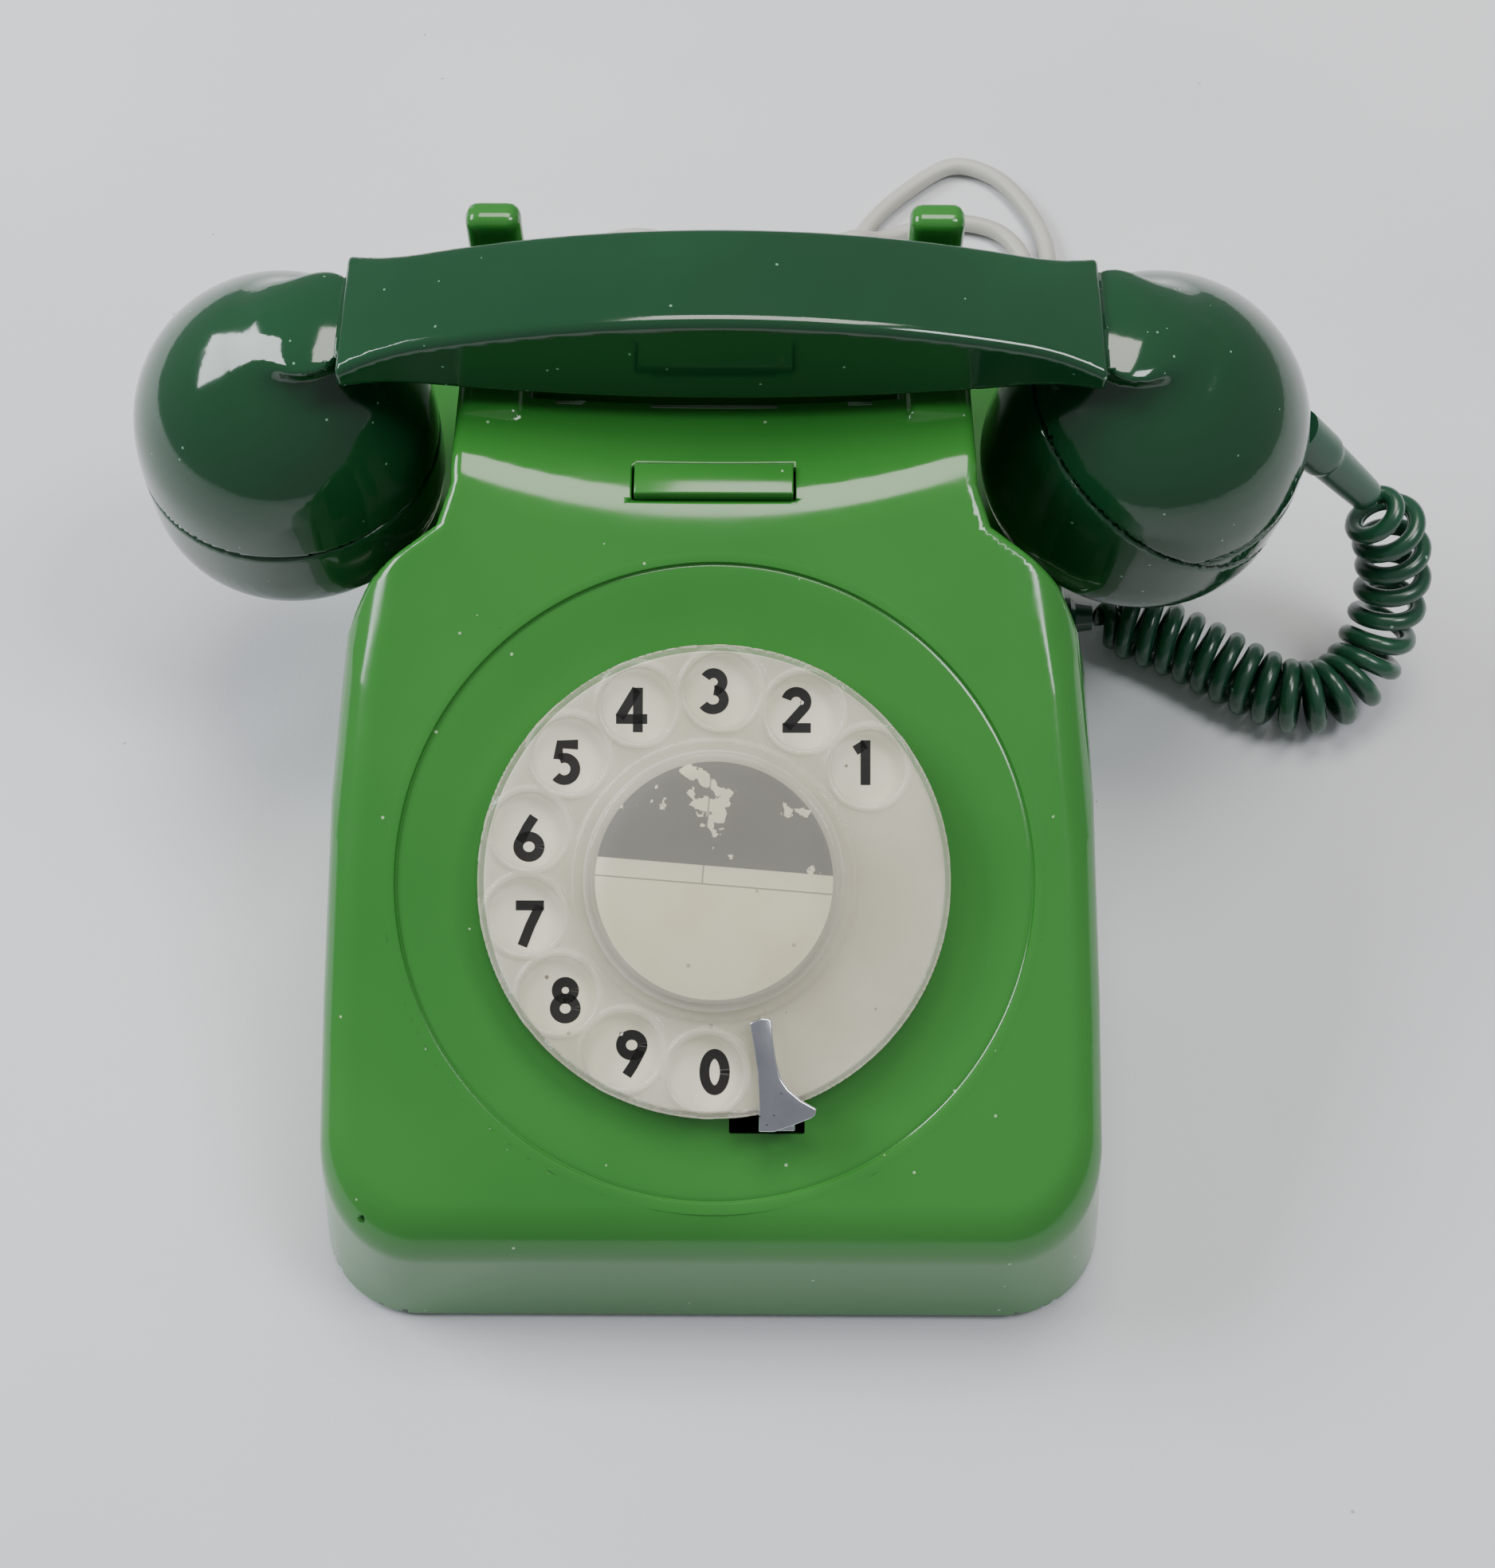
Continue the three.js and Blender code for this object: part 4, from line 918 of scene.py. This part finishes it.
def ear_cap_field(x, y, z):
    form = grooved(EAR_CUP(np.hypot(x - HANDSET_X - EAR_X, y - HANDLE_Y), z), z - 71)
    holes = sound_holes(x - HANDSET_X - EAR_X, y - HANDLE_Y)
    return both(form, z - 70.9, -ear_bore(x, y, z), -holes)


def mouth_cap_field(x, y, z):
    across, up = in_mouth_cup(x - HANDSET_X, z, MOUTH_TILT)
    seam = above_mouth_seam(x, z)
    form = grooved(MOUTH_CUP(np.hypot(across, y - HANDLE_Y), up), seam)
    holes = both(sound_holes(across, y - HANDLE_Y), up + 20)
    return both(form, seam + 0.1, -mouth_bore(x, y, z), -holes)


handset_green = material(
    "handset_green", "123c22", "164428", 0.06, 0.13, 0.015, "6f9a80",
    {"Coat Weight": 0.3, "Coat Roughness": 0.04},
    **{"Mottle Scale": 12.0, "Dust Share": 0.006, "Dust Scale": 1000.0, "Grain Scale": 450.0},
)
HANDSET_CELL = 1.0
for name, field, low, high, slot, node in (
    ("handle", handle_field, (-122, 28, 60), (125, 96, 127), "handset_green", "handset_handle"),
    ("ear_piece_cap", ear_cap_field, (-122, 28, 46), (-56, 95, 73), "handset_green", "ear_cap"),
    ("mouth_piece_cap", mouth_cap_field, (52, 27, 42), (126, 96, 100), "handset_green", "mouth_cap"),
):
    part = named_object(name, moulded_mesh(name, field, low, high, HANDSET_CELL), handset_green)
    place_piece(part, "handset", slot, node)
finish_nodes(steel, "receiver_capsule")
finish_nodes(black_moulding, "transmitter_capsule")

# --- handset cord -----------------------------------------------------------------------
# A green round cord wound into springy coils. It leaves the mouthpiece through a tapered
# sleeve, hangs to the table, and goes back into the side of the case through a gland.


def drawn_line(stops, count):
    """count points at even distances along a smooth line through the stops."""
    stops = np.array(stops, float)
    ends = np.vstack([2 * stops[0] - stops[1], stops, 2 * stops[-1] - stops[-2]])
    found = []
    for i in range(1, len(ends) - 2):
        p0, p1, p2, p3 = ends[i - 1 : i + 3]
        t0 = 0.0
        t1 = t0 + np.linalg.norm(p1 - p0) ** 0.5
        t2 = t1 + np.linalg.norm(p2 - p1) ** 0.5
        t3 = t2 + np.linalg.norm(p3 - p2) ** 0.5
        t = np.linspace(t1, t2, 40, endpoint=i == len(ends) - 3)[:, None]
        a1 = (t1 - t) / (t1 - t0) * p0 + (t - t0) / (t1 - t0) * p1
        a2 = (t2 - t) / (t2 - t1) * p1 + (t - t1) / (t2 - t1) * p2
        a3 = (t3 - t) / (t3 - t2) * p2 + (t - t2) / (t3 - t2) * p3
        b1 = (t2 - t) / (t2 - t0) * a1 + (t - t0) / (t2 - t0) * a2
        b2 = (t3 - t) / (t3 - t1) * a2 + (t - t1) / (t3 - t1) * a3
        found.append((t2 - t) / (t2 - t1) * b1 + (t - t1) / (t2 - t1) * b2)
    line = np.vstack(found)
    reach = np.concatenate([[0], np.cumsum(np.linalg.norm(np.diff(line, axis=0), axis=1))])
    even = np.linspace(0, reach[-1], count)
    return np.stack([np.interp(even, reach, line[:, k]) for k in range(3)], 1)


def length_of(line):
    return float(np.linalg.norm(np.diff(line, axis=0), axis=1).sum())


def carried_frames(line):
    """A side and an up direction at each point of a line, without twist."""
    ahead = np.gradient(line, axis=0)
    ahead /= np.linalg.norm(ahead, axis=1)[:, None]
    first = np.cross(ahead[0], (0.0, 0.0, 1.0) if abs(ahead[0][2]) < 0.9 else (1.0, 0.0, 0.0))
    sides = [first / np.linalg.norm(first)]
    for direction in ahead[1:]:
        side = sides[-1] - direction * (sides[-1] @ direction)
        sides.append(side / np.linalg.norm(side))
    sides = np.array(sides)
    return ahead, sides, np.cross(ahead, sides)


def drawn_cord(name, line, radius, sides=12):
    """A round cord along a line, closed at both ends; radius may change along it."""
    _, across, up = carried_frames(line)
    radii = np.broadcast_to(radius, len(line))
    angles = np.arange(sides) * 2 * math.pi / sides
    rings = line[:, None] + radii[:, None, None] * (
        across[:, None] * np.cos(angles)[None, :, None] + up[:, None] * np.sin(angles)[None, :, None]
    )
    faces = [
        (i * sides + j, i * sides + (j + 1) % sides, (i + 1) * sides + (j + 1) % sides, (i + 1) * sides + j)
        for i in range(len(line) - 1) for j in range(sides)
    ]
    faces += [tuple(range(sides)), tuple(range((len(line) - 1) * sides, len(line) * sides))]
    return settled(faced_mesh(name, rings.reshape(-1, 3).tolist(), faces), 60)


cord_green = material(
    "cord_green", "17402c", "1c4a33", 0.22, 0.34, 0.04, "7fa08c",
    {"Coat Weight": 0.15, "Coat Roughness": 0.2},
    **{"Mottle Scale": 40.0, "Dust Share": 0.01, "Grain Scale": 1500.0},
)
CURL_STOPS = [
    (141.2, 61.5, 49.7), (143.2, 61.2, 47.2), (147.4, 59.4, 40.5), (150.3, 56.2, 31.5), (150.9, 51.8, 22.5),
    (148.9, 46, 14.6), (144.4, 39.8, 10.2), (138, 35.6, 9.1), (130.5, 35, 8.9), (122.5, 38.4, 8.9),
    (114.5, 43.6, 8.9), (106.5, 48.6, 8.9), (98.5, 52.6, 8.9), (92, 55.6, 8.8), (86.9, 56, 9),
]
CURL_CORD = 2.0  # radius of the round cord
CURL_COIL = 6.45  # radius of its coils, at the middle of the cord
HANGING_PITCH = 7.0
LYING_PITCH = 4.9
curl_line = drawn_line(CURL_STOPS, 900)
curl_reach = np.linspace(0, length_of(curl_line), len(curl_line))
pitch = np.interp(
    curl_reach, [0, 34, 60, curl_reach[-1]], [HANGING_PITCH, HANGING_PITCH, LYING_PITCH, LYING_PITCH]
)
winding = np.concatenate([[0], np.cumsum(np.diff(curl_reach) * 2 / (pitch[1:] + pitch[:-1]))]) * 2 * math.pi
run_in = np.clip(np.minimum(curl_reach, curl_reach[-1] - curl_reach) / 6.5, 0, 1)
coil_radius = CURL_COIL * run_in ** 2 * (3 - 2 * run_in)
_, curl_across, curl_up = carried_frames(curl_line)
coiled = curl_line + coil_radius[:, None] * (
    curl_across * np.cos(winding + 1.2)[:, None] + curl_up * np.sin(winding + 1.2)[:, None]
)
curl = named_object(
    "coiled_handset_cord", drawn_cord("coiled_handset_cord", coiled, CURL_CORD, 12), cord_green
)

# The sleeve is a moulded taper with a short root that grips the cup.
SLEEVE_FROM = np.array((117.0, 61.5, 78.0))
SLEEVE_TO = np.array((141.0, 61.5, 50.0))
sleeve_share = np.linspace(0.16, 1, 60)
sleeve_line = SLEEVE_FROM + (SLEEVE_TO - SLEEVE_FROM) * sleeve_share[:, None]
sleeve_radius = np.interp(
    sleeve_share, [0.16, 0.42, 0.46, 0.5, 0.95, 0.985, 1], [5.1, 5.0, 4.9, 4.4, 3.75, 3.6, 3.1]
)
sleeve = named_object("cord_sleeve", drawn_cord("cord_sleeve", sleeve_line, sleeve_radius, 28), cord_green)
place_piece(sleeve, "handset", "cord_green", "handset_cord_boot")
GLAND_PROFILE = [
    (2.1, -4), (3.9, -4), (3.9, 0.4), (4.8, 0.4), (5, 0.6), (5, 1.8), (4.7, 2.1), (3.7, 3), (3.3, 5),
    (3.0, 7), (2.1, 7)
]


def gland_mesh(name, length, turn, place):
    """A round grommet whose tail is drawn out to the given length."""
    stretched = [(r, h if h <= 3 else 3 + (h - 3) * (length - 3) / 4) for r, h in GLAND_PROFILE]
    mesh = turned_mesh(name, stretched, 40)
    mesh.transform(Matrix.Translation(Vector(place) * MM) @ turn)
    return mesh


side_gland = named_object(
    "handset_cord_grommet",
    gland_mesh("handset_cord_grommet", 7, Matrix.Rotation(math.radians(90), 4, "Y"), (78.9, 56, 9)),
    cord_green,
)
place_piece(side_gland, "root", "cord_green", "handset_cord_gland")
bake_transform(curl)
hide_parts("curly_cord")

# --- line cord --------------------------------------------------------------------------
# A pale grey round cord leaves the rear of the case through a grommet and lies in two loose
# loops. The rest is wound in a neat coil close behind, and it ends in a flat moulded plug.
grey_cord = material(
    "grey_cord", "b9b7ae", "aeaca2", 0.35, 0.5, 0.04, "8a8880",
    **{"Mottle Scale": 30.0, "Dust Share": 0.01, "Grain Scale": 1300.0},
)
LINE_RADIUS = 2.15
LOW = LINE_RADIUS + 0.25
LEAD_STOPS = [
    (60, 115.2, 9), (60, 119, 8.7), (61.2, 127, 4.8), (66, 136, LOW), (74, 145, LOW), (81, 156, LOW),
    (82.5, 170, LOW), (78, 184, LOW), (70, 194.5, LOW), (60, 198, LOW), (48, 190, LOW), (37, 177, LOW),
    (31, 162, LOW), (35, 148, LOW), (48, 141, LOW), (62, 144, LOW), (73, 153, LOW), (76.5, 166, LOW),
    (71, 175.5, LOW), (60, 179, LOW), (49, 176.5, LOW), (40, 172, 3.8), (33, 169.6, 7.2),
    (25, 168.4, 4.5), (16, 168.2, LOW), (5, 168.4, LOW), (-5, 168.5, LOW), (-16, 168.4, LOW),
]
COIL_MIDDLE = (-22, 136)
TURNS = [  # radius and height of each turn of the stored cord
    (27, 2.4), (22.5, 2.4), (18, 2.4), (18, 6.75), (22.5, 6.75), (27, 6.75), (22.5, 11.1),
]
turn_stops = [(80, 32.9, LOW), (150, 27.0, 2.4)]
for i, (radius, height) in enumerate(TURNS):
    turn_stops += [(170 + 360 * i, radius, height), (440 + 360 * i, radius, height)]
# The last turn climbs over the one beside it and comes away from the coil.
over = 360 * len(TURNS)
turn_stops += [
    (over + 170, 18, 11.1), (over + 300, 18, 11.1), (over + 365, 18, 15.4), (over + 445, 27, 15.3),
    (over + 495, 27.3, 11.5),
]
stop_angle, stop_radius, stop_height = np.array(turn_stops, float).T
swept = np.append(np.arange(80, over + 495, 12.0), over + 495.0)
stage = np.clip(np.searchsorted(stop_angle, swept, side="right") - 1, 0, len(stop_angle) - 2)
share = (swept - stop_angle[stage]) / (stop_angle[stage + 1] - stop_angle[stage])
share = share ** 2 * (3 - 2 * share)
turn_radius = stop_radius[stage] * (1 - share) + stop_radius[stage + 1] * share
turn_height = stop_height[stage] * (1 - share) + stop_height[stage + 1] * share
coil_turns = np.stack([
    COIL_MIDDLE[0] + turn_radius * np.cos(np.radians(swept)),
    COIL_MIDDLE[1] + turn_radius * np.sin(np.radians(swept)),
    turn_height,
], 1)
PLUG_TURN = math.radians(45)
leaving = np.array((-math.cos(PLUG_TURN), -math.sin(PLUG_TURN), 0.0))
leaving_from = coil_turns[-1] * (1, 1, 0)
away = [leaving_from + leaving * s + (0, 0, h) for s, h in ((6, 9.4), (12, 6.6), (18, 4.6), (21, 4.1))]
line_stops = LEAD_STOPS[:-1] + coil_turns.tolist() + [tuple(p) for p in away]
line_path = drawn_line(line_stops, 820)
line_cord = named_object(
    "grey_line_cord", drawn_cord("grey_line_cord", line_path, LINE_RADIUS, 12), grey_cord
)

PLUG_SIDE = 27.3  # the plug's middle, from the middle of the coil
plug_outline = [
    (-58, 21.3), (-57, 20.4), (-43, 20.4), (-40, 22.6), (-39.8, 24.4), (-39.8, 30.2), (-40, 32),
    (-43, 34.2), (-57, 34.2), (-58, 33.3),
]
plug_parts = [bevelled_prism("plug_body", plug_outline, 0.3, 9.2, 1.1)]
plug_parts += [
    bevelled_prism("plug_rib", rectangle(x, 22.5, x + 1.4, 32.1), 8.8, 9.95, 0.35) for x in (
        -54.5, -51.5, -48.5, -45.5
    )
]
tail_line = np.stack([np.linspace(-41, -18.3, 40), np.full(40, PLUG_SIDE), np.full(40, 4.0)], 1)
tail_ridges = 0.25 * np.sign(np.sin(np.linspace(0, 16 * math.pi, 40)))
plug_parts.append(drawn_cord("plug_tail", tail_line, np.linspace(3.3, 2.55, 40) + tail_ridges, 20))
plug = named_object("line_cord_plug", joined_mesh("line_cord_plug", *plug_parts), grey_cord)
plug.data.transform(
    Matrix.Translation(Vector((*COIL_MIDDLE, 0)) * MM) @ Matrix.Rotation(PLUG_TURN, 4, "Z")
)
place_piece(plug, "root", "white_cord", "line_plug")
rear_gland = named_object(
    "line_cord_grommet",
    gland_mesh("line_cord_grommet", 9, Matrix.Rotation(math.radians(-90), 4, "X"), (60, 105.6, 9)), grey_cord,
)
place_piece(rear_gland, "root", "white_cord", "line_cord_gland")
place_piece(line_cord, "root", "white_cord", "line_cord", "line_cord_coil")
